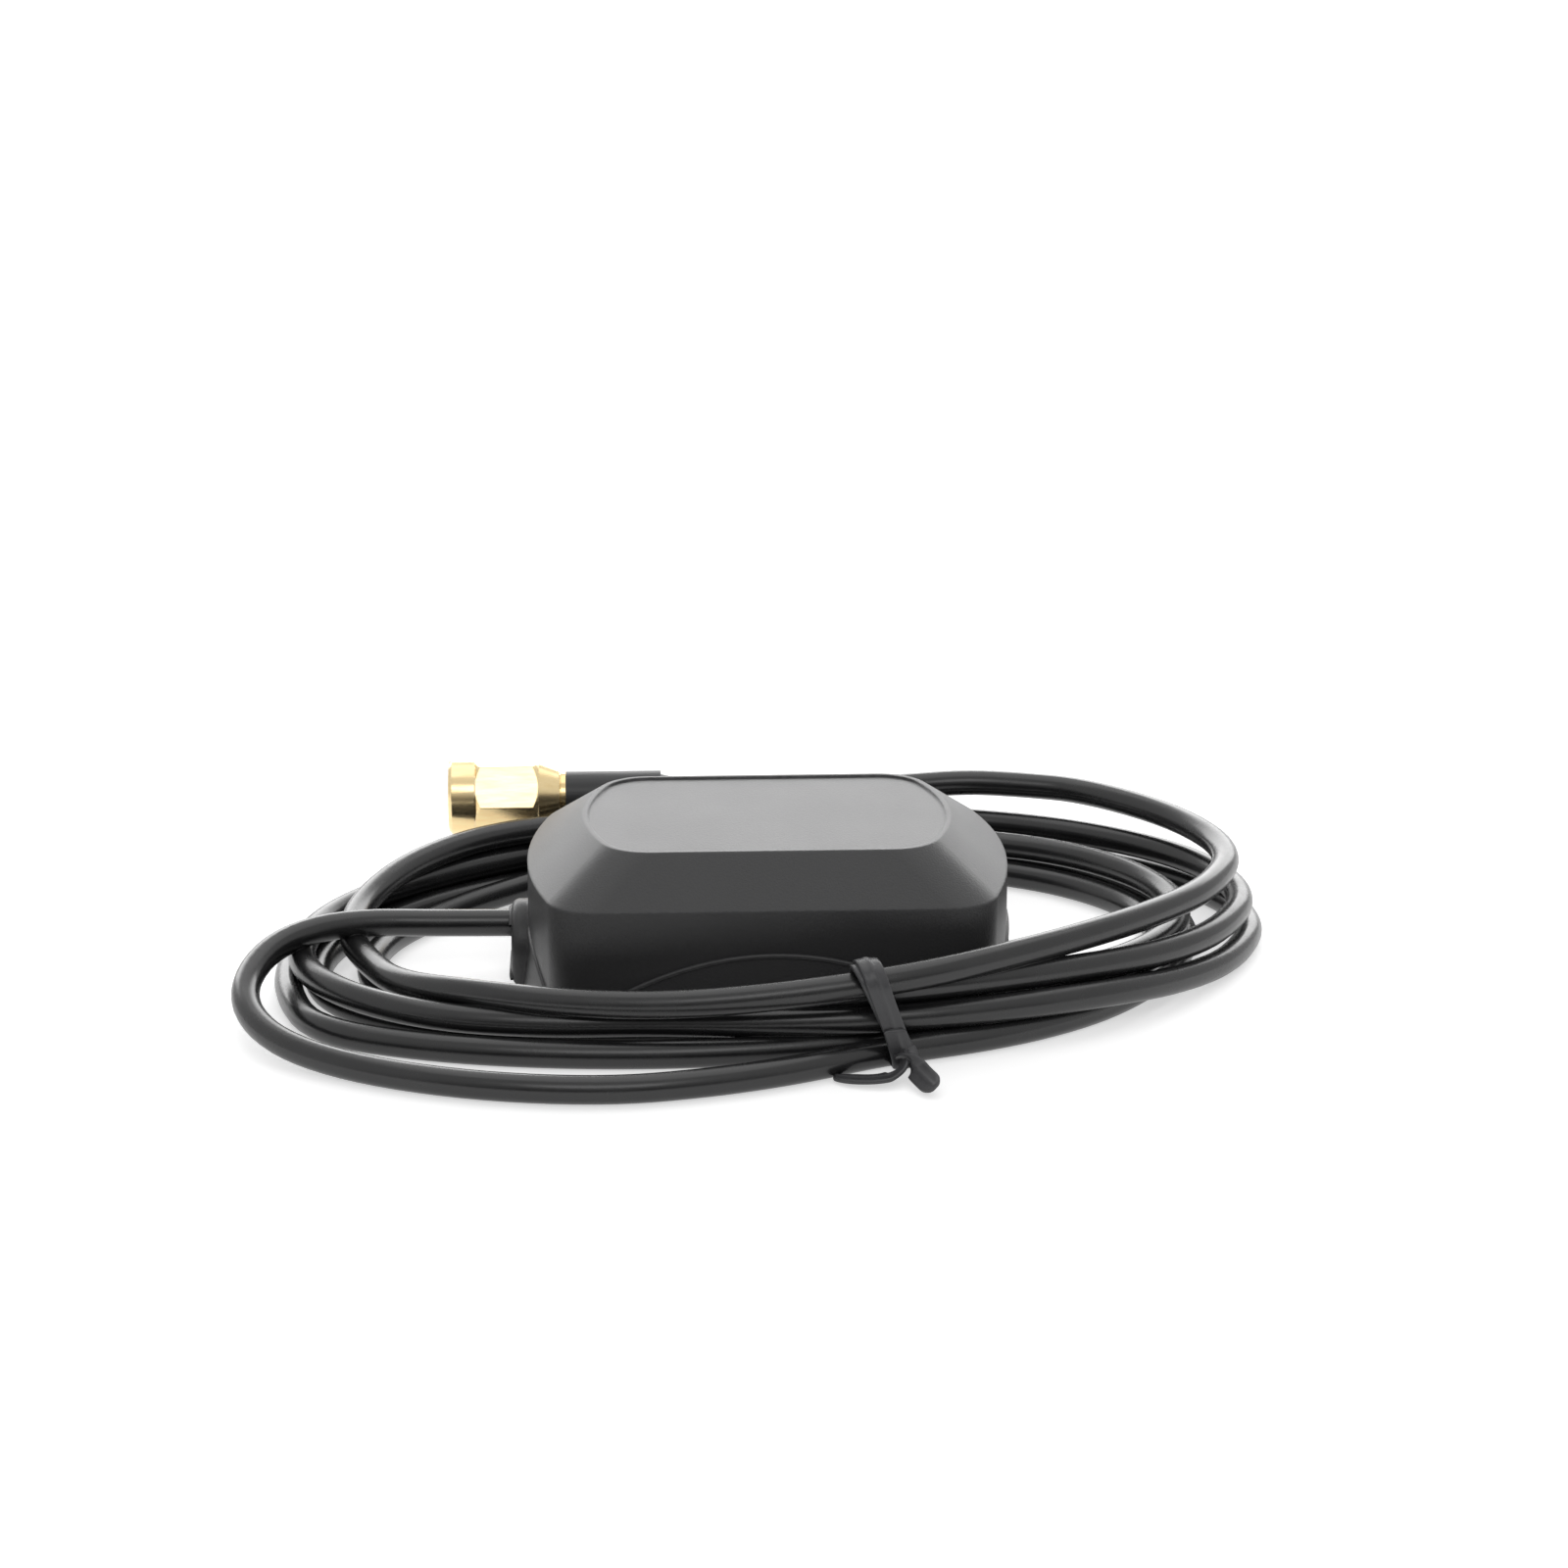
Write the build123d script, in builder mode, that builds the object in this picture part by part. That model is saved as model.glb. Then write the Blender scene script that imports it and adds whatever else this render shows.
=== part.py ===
"""GPS puck antenna with a coiled coaxial lead and a screw-on coaxial plug.

Millimetres, +Z up. The origin is the middle of the puck's underside, on the surface that it
stands on. The cable leaves the puck towards -X, and -Y is the side with the tie.
"""

from build123d import *
from math import cos, sin, tan, radians, pi
import os

os.makedirs("parts", exist_ok=True)

# Housing: outside of the top cover
total_height = 17.0
roof_rise = 4.5  # height of the sloped part
shoulder_height = total_height - roof_rise
skirt_length = 48.4
skirt_width = 36.0
roof_length = 37.0
roof_width = 26.0
corner_radius = 5.0
end_crown = 3.4  # how far the two short ends bow outwards
foot_side_flare = 1.0  # how far the arched foot stands out along the long sides
foot_end_flare = 0.8
foot_top_drop = 1.4  # the foot's slope dies out this far below the shoulder
foot_draft = 7.6  # degrees of slope of the arched foot
roof_rim_width = 0.5
roof_recess_depth = 0.2
underside_gap = 0.4  # the cover and base plate end this far above the surface

# Housing: inside of the top cover
cover_wall = 1.8
roof_wall = 1.6
pocket_wall = 1.1  # skirt wall round the base plate
shoulder_wall_drop = 0.4  # the cavity's slope starts this far below the outer shoulder

# Base plate, its seal and pad
plate_thickness = 1.8
plate_clearance = 0.12
gasket_width = 1.1
gasket_thickness = 0.6
pad_thickness = 0.6
pad_margin = 1.2  # bare border of the base plate round the pad
pad_clearance = 0.1
plate_web = 0.8  # plate left under the magnets

# Screws that hold the base plate
screw_inset_x = 6.0
screw_inset_y = 5.8
screw_spacing_x = skirt_length - 2 * screw_inset_x
screw_spacing_y = skirt_width - 2 * screw_inset_y
screw_shank_radius = 0.9
screw_head_radius = 1.7
screw_head_height = 0.9
screw_length = 6.0
screw_slot_width = 0.5
screw_slot_depth = 0.4
screw_clearance = 0.05
pillar_radius = 2.1

# Circuit board and what is on it
pillar_gap = 0.3  # between the board's ends and the screw pillars
board_length = screw_spacing_x - 2 * (pillar_radius + pillar_gap)
board_side_room = 3.8
board_width = skirt_width - 2 * board_side_room
board_thickness = 1.0
board_height_share = 8 / 17  # the board's underside, as a share of the housing's height
board_bottom = total_height * board_height_share
board_corner_radius = 1.5
post_radius = 1.2
post_inset_x = 1.3
post_inset_y = 3.2
post_spacing_x = board_length - 2 * post_inset_x
post_spacing_y = board_width - 2 * post_inset_y
can_end_room = 5.3
can_side_room = 6.2
can_length = board_length - 2 * can_end_room
can_width = board_width - 2 * can_side_room
can_height = 2.6
can_sheet = 0.25
can_corner_radius = 0.8
chip_size = 2.6
chip_height = 0.9
chip_place_share = 0.2  # the chip's place, as a share of the can's length
filter_length = 3.0
filter_width = 2.4
filter_height = 1.1
filter_place_share = 0.25
filter_y = 2.6
component_length = 1.0
component_width = 0.5
component_height = 0.35
component_end_room = 2.5
component_row_y = 4.6
component_count = 5
component_pitch = (can_length - 2 * component_end_room) / component_count

# Magnets, between the posts that carry the board
magnet_clearance = 0.1
magnet_corner_radius = 0.4
magnet_rim_width = 1.0  # raised rim of the plate round each magnet
magnet_rim_height = 1.0
magnet_rim_gap = 0.8  # between the rim and the posts
magnet_can_gap = 1.0
magnet_inner_edge = 2.5
magnet_outer_edge = post_spacing_x / 2 - post_radius - magnet_rim_gap - magnet_rim_width
magnet_length = magnet_outer_edge - magnet_inner_edge
magnet_width = post_spacing_y - 2 * magnet_rim_width
magnet_offset = (magnet_outer_edge + magnet_inner_edge) / 2
magnet_thickness = board_bottom - can_height - magnet_can_gap - pad_thickness - plate_web

# Ceramic patch
ceramic_end_room = 11.4
ceramic_side_room = 11.0
ceramic_side = min(screw_spacing_x - ceramic_end_room, skirt_width - ceramic_side_room)
ceramic_thickness = 4.0
ceramic_edge_chamfer = 0.25
electrode_border = 2.25
electrode_side = ceramic_side - 2 * electrode_border
electrode_corner_cut = 2.0
electrode_thickness = 0.05
tape_thickness = 0.3
tape_border = 0.5
tape_side = ceramic_side - 2 * tape_border
feed_offset = 1.8  # the feed point sits off the middle of the patch
feed_radius = 0.5
feed_head_radius = 1.2
feed_head_height = 0.3
feed_clearance = 0.1
feed_tail = 0.6
foam_border = 0.25
foam_side = electrode_side / 2 - foam_border
foam_gap = 0.8  # between the foam and the feed pin's head
foam_clearance = 0.02

# Coaxial cable
cable_diameter = 2.8
cable_height_share = 0.694
cable_height = board_bottom * cable_height_share  # middle of the cable in the boss
cable_bore_clearance = 0.05
jacket_inside = 4.0  # jacket past the inner face of the end wall
braid_radius = 1.1
braid_length = 4.6
dielectric_radius = 0.75
dielectric_length = 5.4
conductor_radius = 0.25
conductor_length = 6.0
solder_radius = 0.9
solder_taper = 0.8  # share of the radius left at the joint's lower end
seal_radius = 1.8
seal_length = 1.4
clip_sheet = 0.3
clip_length = 2.6
clip_start = 1.4  # from the jacket's end to the clip
clip_tab = 1.5

# Cable boss on the housing: straight sides and a round top
boss_reach = 1.7  # how far the boss stands out of the skirt's end
boss_width = 9.0
boss_top = cable_height + 2.4
boss_edge_radius = 0.9

# Coil of cable round the housing, as the outer shape of its turns
coil_centre_x = -0.7
coil_end_room = 19.8  # from the skirt to the coil's middle line
coil_side_room = 13.0
coil_half_length = skirt_length / 2 + coil_end_room
coil_half_width = skirt_width / 2 + coil_side_room
coil_tilt = 7.0  # degrees that the long axis is turned from X
coil_section_count = 36
coil_shoulder = 0.55  # share of the height where the sides start to lean in
coil_lean = 0.26  # share of the width that each side leans in

# Places round the coil: angle, inner offset, outer offset, height
coil_places = [
    (0.0, -3.3, 9.6, 9.4),
    (15.0, -1.8, 10.8, 8.2),
    (40.0, -0.4, 10.8, 6.4),
    (70.0, -0.8, 8.4, 6.0),
    (95.0, -1.9, 6.4, 5.8),
    (130.0, -3.0, 5.4, 7.2),
    (160.0, -4.8, 5.2, 5.6),
    (190.0, -6.1, 5.5, 5.2),
    (205.0, -7.0, 6.2, 5.4),
    (222.0, -8.6, 1.6, 6.6),
    (250.0, -10.2, -0.4, 7.8),
    (280.0, -6.9, 1.4, 10.0),
    (310.0, -7.0, 1.4, 10.2),
    (340.0, -5.4, 4.4, 9.8),
]

# Twist tie
tie_angle = 280.0
tie_width = 2.3
tie_thickness = 0.8
tie_tail_length = 7.5
tie_tail_width = 2.6
tie_tail_thickness = 1.2
tie_tail_turn = -58.0  # degrees from X that the tail points on the surface

# Plug: axis along X, open end towards -X
plug_end_room = 9.2  # the plug's mouth lies this far past the skirt's end
plug_mouth_x = -skirt_length / 2 - plug_end_room
plug_side_room = 3.6
plug_y = coil_half_width + plug_side_room
plug_z = 8.5
nut_flats = 8.0
nut_front_length = 2.9
nut_hex_length = 6.9
nut_rear_length = 2.3
nut_front_radius = 4.15
nut_shoulder_radius = 3.95
nut_rear_radius = 2.95
hex_chamfer = 0.6
nut_bore_radius = 2.85
nut_step = 8.6  # depth of the nut's bore, from its mouth
journal_radius = 2.45
running_clearance = 0.05
nut_mouth_chamfer = 0.35
face_depth = 4.4  # the plug's contact face lies this far inside the nut's mouth
shell_radius = 2.3
flange_radius = 2.72
flange_thickness = 0.9
step_gap = 0.1
rim_radius = 2.6
rim_thickness = 0.55
rim_gap = 0.1
tail_radius = 1.45
tail_length = 5.2
tail_bore_radius = 0.8
insulator_radius = 2.0
insulator_length = 6.4
pin_radius = 0.46
pin_body_radius = 0.64
pin_reach = 2.0
pin_cup_length = 1.0
ring_depth = 10.1
ring_width = 0.6
ring_radius = 2.75
ring_inner_radius = 2.2
ring_clearance = 0.08
ring_arc = 325.0  # degrees: the ring is split
plug_gasket_thickness = 0.7
ferrule_radius = 2.0
ferrule_bore = 1.5
ferrule_length = 9.6
sleeve_length = 22.6
sleeve_thickness = 0.35
sleeve_taper = 2.4
sleeve_clearance = 0.02
straight_past_sleeve = 6.0  # straight cable behind the long sleeve
outer_sleeve_length = 10.4
outer_sleeve_thickness = 0.2

cable_radius = cable_diameter / 2


# Shared shapes

def housing_outline(length, width, corner, crown):
    """Plan of the housing: straight long sides, bowed ends and round corners."""
    end = length / 2 - crown
    side = width / 2
    with BuildSketch() as plan:
        with BuildLine():
            Line((-end, -side), (end, -side))
            ThreePointArc((end, -side), (length / 2, 0), (end, side))
            Line((end, side), (-end, side))
            ThreePointArc((-end, side), (-length / 2, 0), (-end, -side))
        make_face()
        fillet(plan.vertices(), corner)
    return plan.sketch


def inset_outline(inset):
    """Plan of the skirt, moved inwards by a wall."""
    return housing_outline(
        skirt_length - 2 * inset, skirt_width - 2 * inset, corner_radius - inset, end_crown
    )


def foot_outline(inset):
    """Plan of the foot: all four sides bow out from the skirt's corners."""
    end = skirt_length / 2 - end_crown
    side = skirt_width / 2
    side_bow = side + foot_side_flare
    end_bow = skirt_length / 2 + foot_end_flare
    with BuildSketch() as plan:
        with BuildLine():
            ThreePointArc((-end, -side), (0, -side_bow), (end, -side))
            ThreePointArc((end, -side), (end_bow, 0), (end, side))
            ThreePointArc((end, side), (0, side_bow), (-end, side))
            ThreePointArc((-end, side), (-end_bow, 0), (-end, -side))
        make_face()
        fillet(plan.vertices(), corner_radius)
        if inset:
            offset(amount=-inset)
    return plan.sketch


def save(piece, name):
    """Label a finished piece and write it as a STEP file."""
    piece.part.label = name
    export_step(piece.part, f"parts/{name}.step")


screw_places = GridLocations(screw_spacing_x, screw_spacing_y, 2, 2).locations
plate_top = underside_gap + plate_thickness
ledge_height = plate_top + gasket_thickness
cavity_top = total_height - roof_wall
skirt_end_x = -skirt_length / 2
boss_face_x = skirt_end_x - boss_reach
wall_inner_x = skirt_end_x + cover_wall
jacket_end_x = wall_inner_x + jacket_inside
foot_rise = shoulder_height - underside_gap - foot_top_drop

# Cavity of the cover, less the screw pillars that stay standing in it
with BuildPart() as cover_cavity:
    with BuildSketch(Plane.XY.offset(underside_gap)):
        add(inset_outline(pocket_wall))
    extrude(amount=ledge_height - underside_gap)
    with BuildSketch(Plane.XY.offset(ledge_height)):
        add(inset_outline(cover_wall))
    extrude(amount=shoulder_height - shoulder_wall_drop - ledge_height)
    with BuildSketch(Plane.XY.offset(shoulder_height - shoulder_wall_drop)):
        add(inset_outline(cover_wall))
    with BuildSketch(Plane.XY.offset(cavity_top)):
        add(housing_outline(
            roof_length - cover_wall, roof_width - cover_wall, corner_radius - cover_wall, end_crown
        ))
    loft()
    with BuildSketch(Plane.XY.offset(ledge_height)):
        with Locations(screw_places):
            Circle(pillar_radius)
    extrude(amount=total_height, mode=Mode.SUBTRACT)

# Top cover: skirt, sloped roof with a shallow rimmed face, arched foot and cable boss
with BuildPart() as top_cover:
    with BuildSketch(Plane.XY.offset(underside_gap)):
        add(inset_outline(0))
    extrude(amount=shoulder_height - underside_gap)
    with BuildSketch(Plane.XY.offset(shoulder_height)):
        add(inset_outline(0))
    with BuildSketch(Plane.XY.offset(total_height)):
        add(housing_outline(roof_length, roof_width, corner_radius, end_crown))
    loft()
    with BuildSketch(Plane.XY.offset(underside_gap)):
        add(foot_outline(0))
    with BuildSketch(Plane.XY.offset(underside_gap + foot_rise)):
        add(foot_outline(foot_rise * tan(radians(foot_draft))))
    loft(ruled=True)
    boss_middle = boss_top - boss_width / 2
    with BuildSketch(Plane.YZ.offset(boss_face_x)):
        with Locations((0, boss_middle)):
            Circle(boss_width / 2)
        with Locations((0, (underside_gap + boss_middle) / 2)):
            Rectangle(boss_width, boss_middle - underside_gap)
        with Locations((0, underside_gap - boss_width / 2)):
            Rectangle(boss_width, boss_width, mode=Mode.SUBTRACT)
    extrude(amount=boss_reach + cover_wall)
    fillet(top_cover.faces().sort_by(Axis.X)[0].edges(), boss_edge_radius)
    with BuildSketch(Plane.XY.offset(total_height)):
        add(housing_outline(
            roof_length - 2 * roof_rim_width,
            roof_width - 2 * roof_rim_width,
            corner_radius - roof_rim_width,
            end_crown,
        ))
    extrude(amount=-roof_recess_depth, mode=Mode.SUBTRACT)
    add(cover_cavity.part, mode=Mode.SUBTRACT)
    with BuildSketch(Plane.XY.offset(ledge_height)):
        with Locations(screw_places):
            Circle(screw_shank_radius + screw_clearance)
    extrude(amount=screw_length, mode=Mode.SUBTRACT)
    with BuildSketch(Plane.YZ.offset(boss_face_x)):
        with Locations((0, cable_height)):
            Circle(cable_radius + cable_bore_clearance)
    extrude(amount=boss_reach + 2 * cover_wall, mode=Mode.SUBTRACT)
    with BuildSketch(Plane.YZ.offset(wall_inner_x)):
        with Locations((0, cable_height)):
            Circle(seal_radius + cable_bore_clearance)
    extrude(amount=-seal_length, mode=Mode.SUBTRACT)
save(top_cover, "top_cover")

# Base plate: closes the cover from below, carries the magnets and the board's posts
pad_top = pad_thickness
pad_inset = pocket_wall + pad_margin
magnet_floor = pad_top + plate_web
magnet_places = [(-magnet_offset, 0), (magnet_offset, 0)]
with BuildPart() as base_plate:
    with BuildSketch(Plane.XY.offset(underside_gap)):
        add(inset_outline(pocket_wall + plate_clearance))
    extrude(amount=plate_thickness)
    with BuildSketch(Plane.XY.offset(plate_top)):
        with GridLocations(post_spacing_x, post_spacing_y, 2, 2):
            Circle(post_radius)
    extrude(amount=board_bottom - plate_top)
    with BuildSketch(Plane.XY.offset(plate_top)):
        with Locations(magnet_places):
            Rectangle(
                magnet_length + 2 * magnet_rim_width, magnet_width + 2 * magnet_rim_width
            )
            Rectangle(
                magnet_length + 2 * magnet_clearance,
                magnet_width + 2 * magnet_clearance,
                mode=Mode.SUBTRACT,
            )
    extrude(amount=magnet_rim_height)
    with BuildSketch(Plane.XY.offset(magnet_floor)):
        with Locations(magnet_places):
            Rectangle(magnet_length + 2 * magnet_clearance, magnet_width + 2 * magnet_clearance)
    extrude(amount=plate_thickness, mode=Mode.SUBTRACT)
    with BuildSketch(Plane.XY.offset(underside_gap)):
        add(inset_outline(pad_inset - pad_clearance))
    extrude(amount=pad_top - underside_gap, mode=Mode.SUBTRACT)
    with BuildSketch(Plane.XY.offset(pad_top)):
        with Locations(screw_places):
            Circle(screw_head_radius + screw_clearance)
    extrude(amount=screw_head_height, mode=Mode.SUBTRACT)
    with BuildSketch(Plane.XY.offset(underside_gap)):
        with Locations(screw_places):
            Circle(screw_shank_radius + screw_clearance)
    extrude(amount=plate_thickness, mode=Mode.SUBTRACT)
save(base_plate, "base_plate")

# Seal between the base plate and the ledge in the cover
with BuildPart() as base_gasket:
    with BuildSketch(Plane.XY.offset(plate_top)):
        add(inset_outline(pocket_wall + plate_clearance))
        add(inset_outline(pocket_wall + gasket_width), mode=Mode.SUBTRACT)
    extrude(amount=gasket_thickness)
save(base_gasket, "base_gasket")

# Thin rubber pad that the puck stands on
with BuildPart() as bottom_pad:
    with BuildSketch():
        add(inset_outline(pad_inset))
    extrude(amount=pad_thickness)
save(bottom_pad, "bottom_pad")

# Four slotted screws, put in from below, with their heads sunk in the base plate
with BuildPart() as base_screws:
    with BuildSketch(Plane.XY.offset(pad_top)):
        with Locations(screw_places):
            Circle(screw_head_radius)
    extrude(amount=screw_head_height)
    with BuildSketch(Plane.XY.offset(pad_top + screw_head_height)):
        with Locations(screw_places):
            Circle(screw_shank_radius)
    extrude(amount=screw_length)
    with BuildSketch(Plane.XY.offset(pad_top)):
        with Locations(screw_places):
            Rectangle(2 * screw_head_radius, screw_slot_width)
    extrude(amount=screw_slot_depth, mode=Mode.SUBTRACT)
save(base_screws, "base_screws")

# Two flat magnets in the base plate's pockets
for side, place in zip(("left", "right"), magnet_places):
    with BuildPart() as magnet:
        with BuildSketch(Plane.XY.offset(magnet_floor)):
            with Locations(place):
                Rectangle(magnet_length, magnet_width)
        extrude(amount=magnet_thickness)
        fillet(magnet.edges().filter_by(Axis.Z), magnet_corner_radius)
    save(magnet, f"magnet_{side}")

# Circuit board on its four posts
board_top = board_bottom + board_thickness
with BuildPart() as circuit_board:
    with BuildSketch(Plane.XY.offset(board_bottom)):
        RectangleRounded(board_length, board_width, board_corner_radius)
        with Locations((feed_offset, 0)):
            Circle(feed_radius + feed_clearance, mode=Mode.SUBTRACT)
    extrude(amount=board_thickness)
save(circuit_board, "circuit_board")

# Folded tin can over the amplifier, open towards the board
can_bottom = board_bottom - can_height
with BuildPart() as shield_can:
    with BuildSketch(Plane.XY.offset(can_bottom)):
        RectangleRounded(can_length, can_width, can_corner_radius)
    extrude(amount=can_height)
    with BuildSketch(Plane.XY.offset(can_bottom + can_sheet)):
        RectangleRounded(
            can_length - 2 * can_sheet, can_width - 2 * can_sheet, can_corner_radius - can_sheet
        )
    extrude(amount=can_height, mode=Mode.SUBTRACT)
save(shield_can, "shield_can")

# Amplifier chip, filter chip and small components on the board's underside, inside the can
with BuildPart() as amplifier_chip:
    with BuildSketch(Plane.XY.offset(board_bottom)):
        with Locations((-chip_place_share * can_length, 0)):
            Rectangle(chip_size, chip_size)
    extrude(amount=-chip_height)
save(amplifier_chip, "amplifier_chip")

with BuildPart() as filter_chip:
    with BuildSketch(Plane.XY.offset(board_bottom)):
        with Locations((filter_place_share * can_length, filter_y)):
            Rectangle(filter_length, filter_width)
    extrude(amount=-filter_height)
save(filter_chip, "filter_chip")

with BuildPart() as chip_components:
    with BuildSketch(Plane.XY.offset(board_bottom)):
        with GridLocations(component_pitch, 2 * component_row_y, component_count, 2):
            Rectangle(component_length, component_width)
    extrude(amount=-component_height)
save(chip_components, "chip_components")

# Adhesive pad, ceramic block and its silver electrode
with BuildPart() as adhesive_pad:
    with BuildSketch(Plane.XY.offset(board_top)):
        Rectangle(tape_side, tape_side)
        with Locations((feed_offset, 0)):
            Circle(feed_radius + feed_clearance, mode=Mode.SUBTRACT)
    extrude(amount=tape_thickness)
save(adhesive_pad, "adhesive_pad")

ceramic_bottom = board_top + tape_thickness
ceramic_top = ceramic_bottom + ceramic_thickness
with BuildPart() as ceramic_patch:
    with BuildSketch(Plane.XY.offset(ceramic_bottom)):
        Rectangle(ceramic_side, ceramic_side)
        with Locations((feed_offset, 0)):
            Circle(feed_radius + feed_clearance, mode=Mode.SUBTRACT)
    extrude(amount=ceramic_thickness)
    chamfer(ceramic_patch.faces().sort_by(Axis.Z)[-1].outer_wire().edges(), ceramic_edge_chamfer)
save(ceramic_patch, "ceramic_patch")

with BuildPart() as patch_electrode:
    with BuildSketch(Plane.XY.offset(ceramic_top)) as electrode_plan:
        Rectangle(electrode_side, electrode_side)
        tuned_corners = electrode_plan.vertices().group_by(Axis.X)[0].sort_by(Axis.Y)[0]
        other_corner = electrode_plan.vertices().group_by(Axis.X)[-1].sort_by(Axis.Y)[-1]
        chamfer([tuned_corners, other_corner], electrode_corner_cut)
        with Locations((feed_offset, 0)):
            Circle(feed_radius + feed_clearance, mode=Mode.SUBTRACT)
    extrude(amount=electrode_thickness)
save(patch_electrode, "patch_electrode")

# Feed pin through the ceramic and the board, with its head soldered on the electrode
feed_head_bottom = ceramic_top + electrode_thickness
with BuildPart() as feed_pin:
    with BuildSketch(Plane.XY.offset(board_bottom - feed_tail)):
        with Locations((feed_offset, 0)):
            Circle(feed_radius)
    extrude(amount=feed_head_bottom - board_bottom + feed_tail)
    with BuildSketch(Plane.XY.offset(feed_head_bottom)):
        with Locations((feed_offset, 0)):
            Circle(feed_head_radius)
    extrude(amount=feed_head_height)
save(feed_pin, "feed_pin")

# Foam pad that stops the ceramic from rattling under the roof
foam_x = feed_offset - feed_head_radius - foam_gap - foam_side / 2
foam_height = cavity_top - feed_head_bottom - foam_clearance
with BuildPart() as foam_pad:
    with BuildSketch(Plane.XY.offset(feed_head_bottom)):
        with Locations((foam_x, 0)):
            Rectangle(foam_side, foam_side)
    extrude(amount=foam_height)
save(foam_pad, "foam_pad")

# Rubber seal round the cable, in the inside of the end wall
with BuildPart() as cable_seal:
    with BuildSketch(Plane.YZ.offset(wall_inner_x - seal_length)):
        with Locations((0, cable_height)):
            Circle(seal_radius)
            Circle(cable_radius, mode=Mode.SUBTRACT)
    extrude(amount=seal_length)
save(cable_seal, "cable_seal")


def cable_layer(outer, inner, start, length):
    """One stripped layer of the cable's end, pointing into the housing."""
    with BuildPart() as layer:
        with BuildSketch(Plane.YZ.offset(start)):
            with Locations((0, cable_height)):
                Circle(outer)
                if inner:
                    Circle(inner, mode=Mode.SUBTRACT)
        extrude(amount=length)
    return layer


# Stripped end of the cable: braid, dielectric and inner conductor
cable_braid = cable_layer(braid_radius, dielectric_radius, jacket_end_x, braid_length)
save(cable_braid, "cable_braid")
cable_dielectric = cable_layer(dielectric_radius, conductor_radius, jacket_end_x, dielectric_length)
save(cable_dielectric, "cable_dielectric")
cable_conductor = cable_layer(conductor_radius, 0, jacket_end_x, conductor_length)
save(cable_conductor, "cable_conductor")

# Solder joint from the inner conductor up to the board
solder_x = jacket_end_x + conductor_length
with BuildPart() as solder_joint:
    with BuildSketch(Plane.XY.offset(board_bottom)):
        with Locations((solder_x + solder_radius, 0)):
            Circle(solder_radius)
    with BuildSketch(Plane.XY.offset(cable_height - conductor_radius)):
        with Locations((solder_x + solder_radius, 0)):
            Circle(solder_radius * solder_taper)
    loft()
save(solder_joint, "solder_joint")

# Folded ground clip: a U of sheet round the braid with two tabs soldered to the board
clip_x = jacket_end_x + clip_start
clip_outer = braid_radius + clip_sheet
with BuildPart() as ground_clip:
    with BuildSketch(Plane.YZ.offset(clip_x)):
        with Locations((0, cable_height)):
            Circle(clip_outer)
        with Locations((0, (cable_height + board_bottom) / 2)):
            Rectangle(2 * clip_outer, board_bottom - cable_height)
        with Locations((0, board_bottom - clip_sheet / 2)):
            Rectangle(2 * (clip_outer + clip_tab), clip_sheet)
        with Locations((0, cable_height)):
            Circle(braid_radius, mode=Mode.SUBTRACT)
        with Locations((0, (cable_height + board_bottom) / 2)):
            Rectangle(2 * braid_radius, board_bottom - cable_height, mode=Mode.SUBTRACT)
    extrude(amount=clip_length)
save(ground_clip, "ground_clip")


# Coil of cable: one closed ring with the outer shape of all its turns

def coil_profile(angle):
    """Inner offset, outer offset and height of the coil at an angle, blended between places."""
    places = coil_places + [(coil_places[0][0] + 360.0,) + coil_places[0][1:]]
    angle = angle % 360.0
    for before, after in zip(places, places[1:]):
        if before[0] <= angle <= after[0]:
            share = (angle - before[0]) / (after[0] - before[0])
            ease = (1 - cos(pi * share)) / 2
            return [a + (b - a) * ease for a, b in zip(before[1:], after[1:])]


def coil_plane(angle):
    """Plane across the coil at an angle: x runs outwards, y runs up."""
    turn = radians(angle)
    tilt = radians(coil_tilt)
    along = coil_half_length * cos(turn)
    across = coil_half_width * sin(turn)
    out_x = cos(turn) / coil_half_length
    out_y = sin(turn) / coil_half_width
    origin = (
        coil_centre_x + along * cos(tilt) - across * sin(tilt),
        along * sin(tilt) + across * cos(tilt),
        0,
    )
    outward = Vector(
        out_x * cos(tilt) - out_y * sin(tilt), out_x * sin(tilt) + out_y * cos(tilt), 0
    ).normalized()
    return Plane(origin=origin, x_dir=outward, z_dir=outward.cross(Vector(0, 0, 1)))


def coil_outline(angle, grow=0.0, bottom=0.0):
    """Six-sided section of the coil, optionally grown by a thickness or with a raised bottom."""
    inner, outer, height = coil_profile(angle)
    lean = (outer - inner) * coil_lean
    return [
        (inner - grow, bottom),
        (outer + grow, bottom),
        (outer + grow, height * coil_shoulder),
        (outer - lean, height + grow),
        (inner + lean, height + grow),
        (inner - grow, height * coil_shoulder),
    ]


half = coil_section_count // 2
with BuildPart() as cable_coil:
    for first in (0, half):
        for step in range(first, first + half + 1):
            angle = 180.0 * step / half
            with BuildSketch(coil_plane(angle)):
                with BuildLine():
                    Polyline(*coil_outline(angle), close=True)
                make_face()
        loft()
    with BuildSketch(coil_plane(tie_angle).offset(-tie_width / 2)):
        Rectangle(coil_half_width, 2 * tie_thickness)
    extrude(amount=tie_width, mode=Mode.SUBTRACT)
save(cable_coil, "cable_coil")


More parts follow.
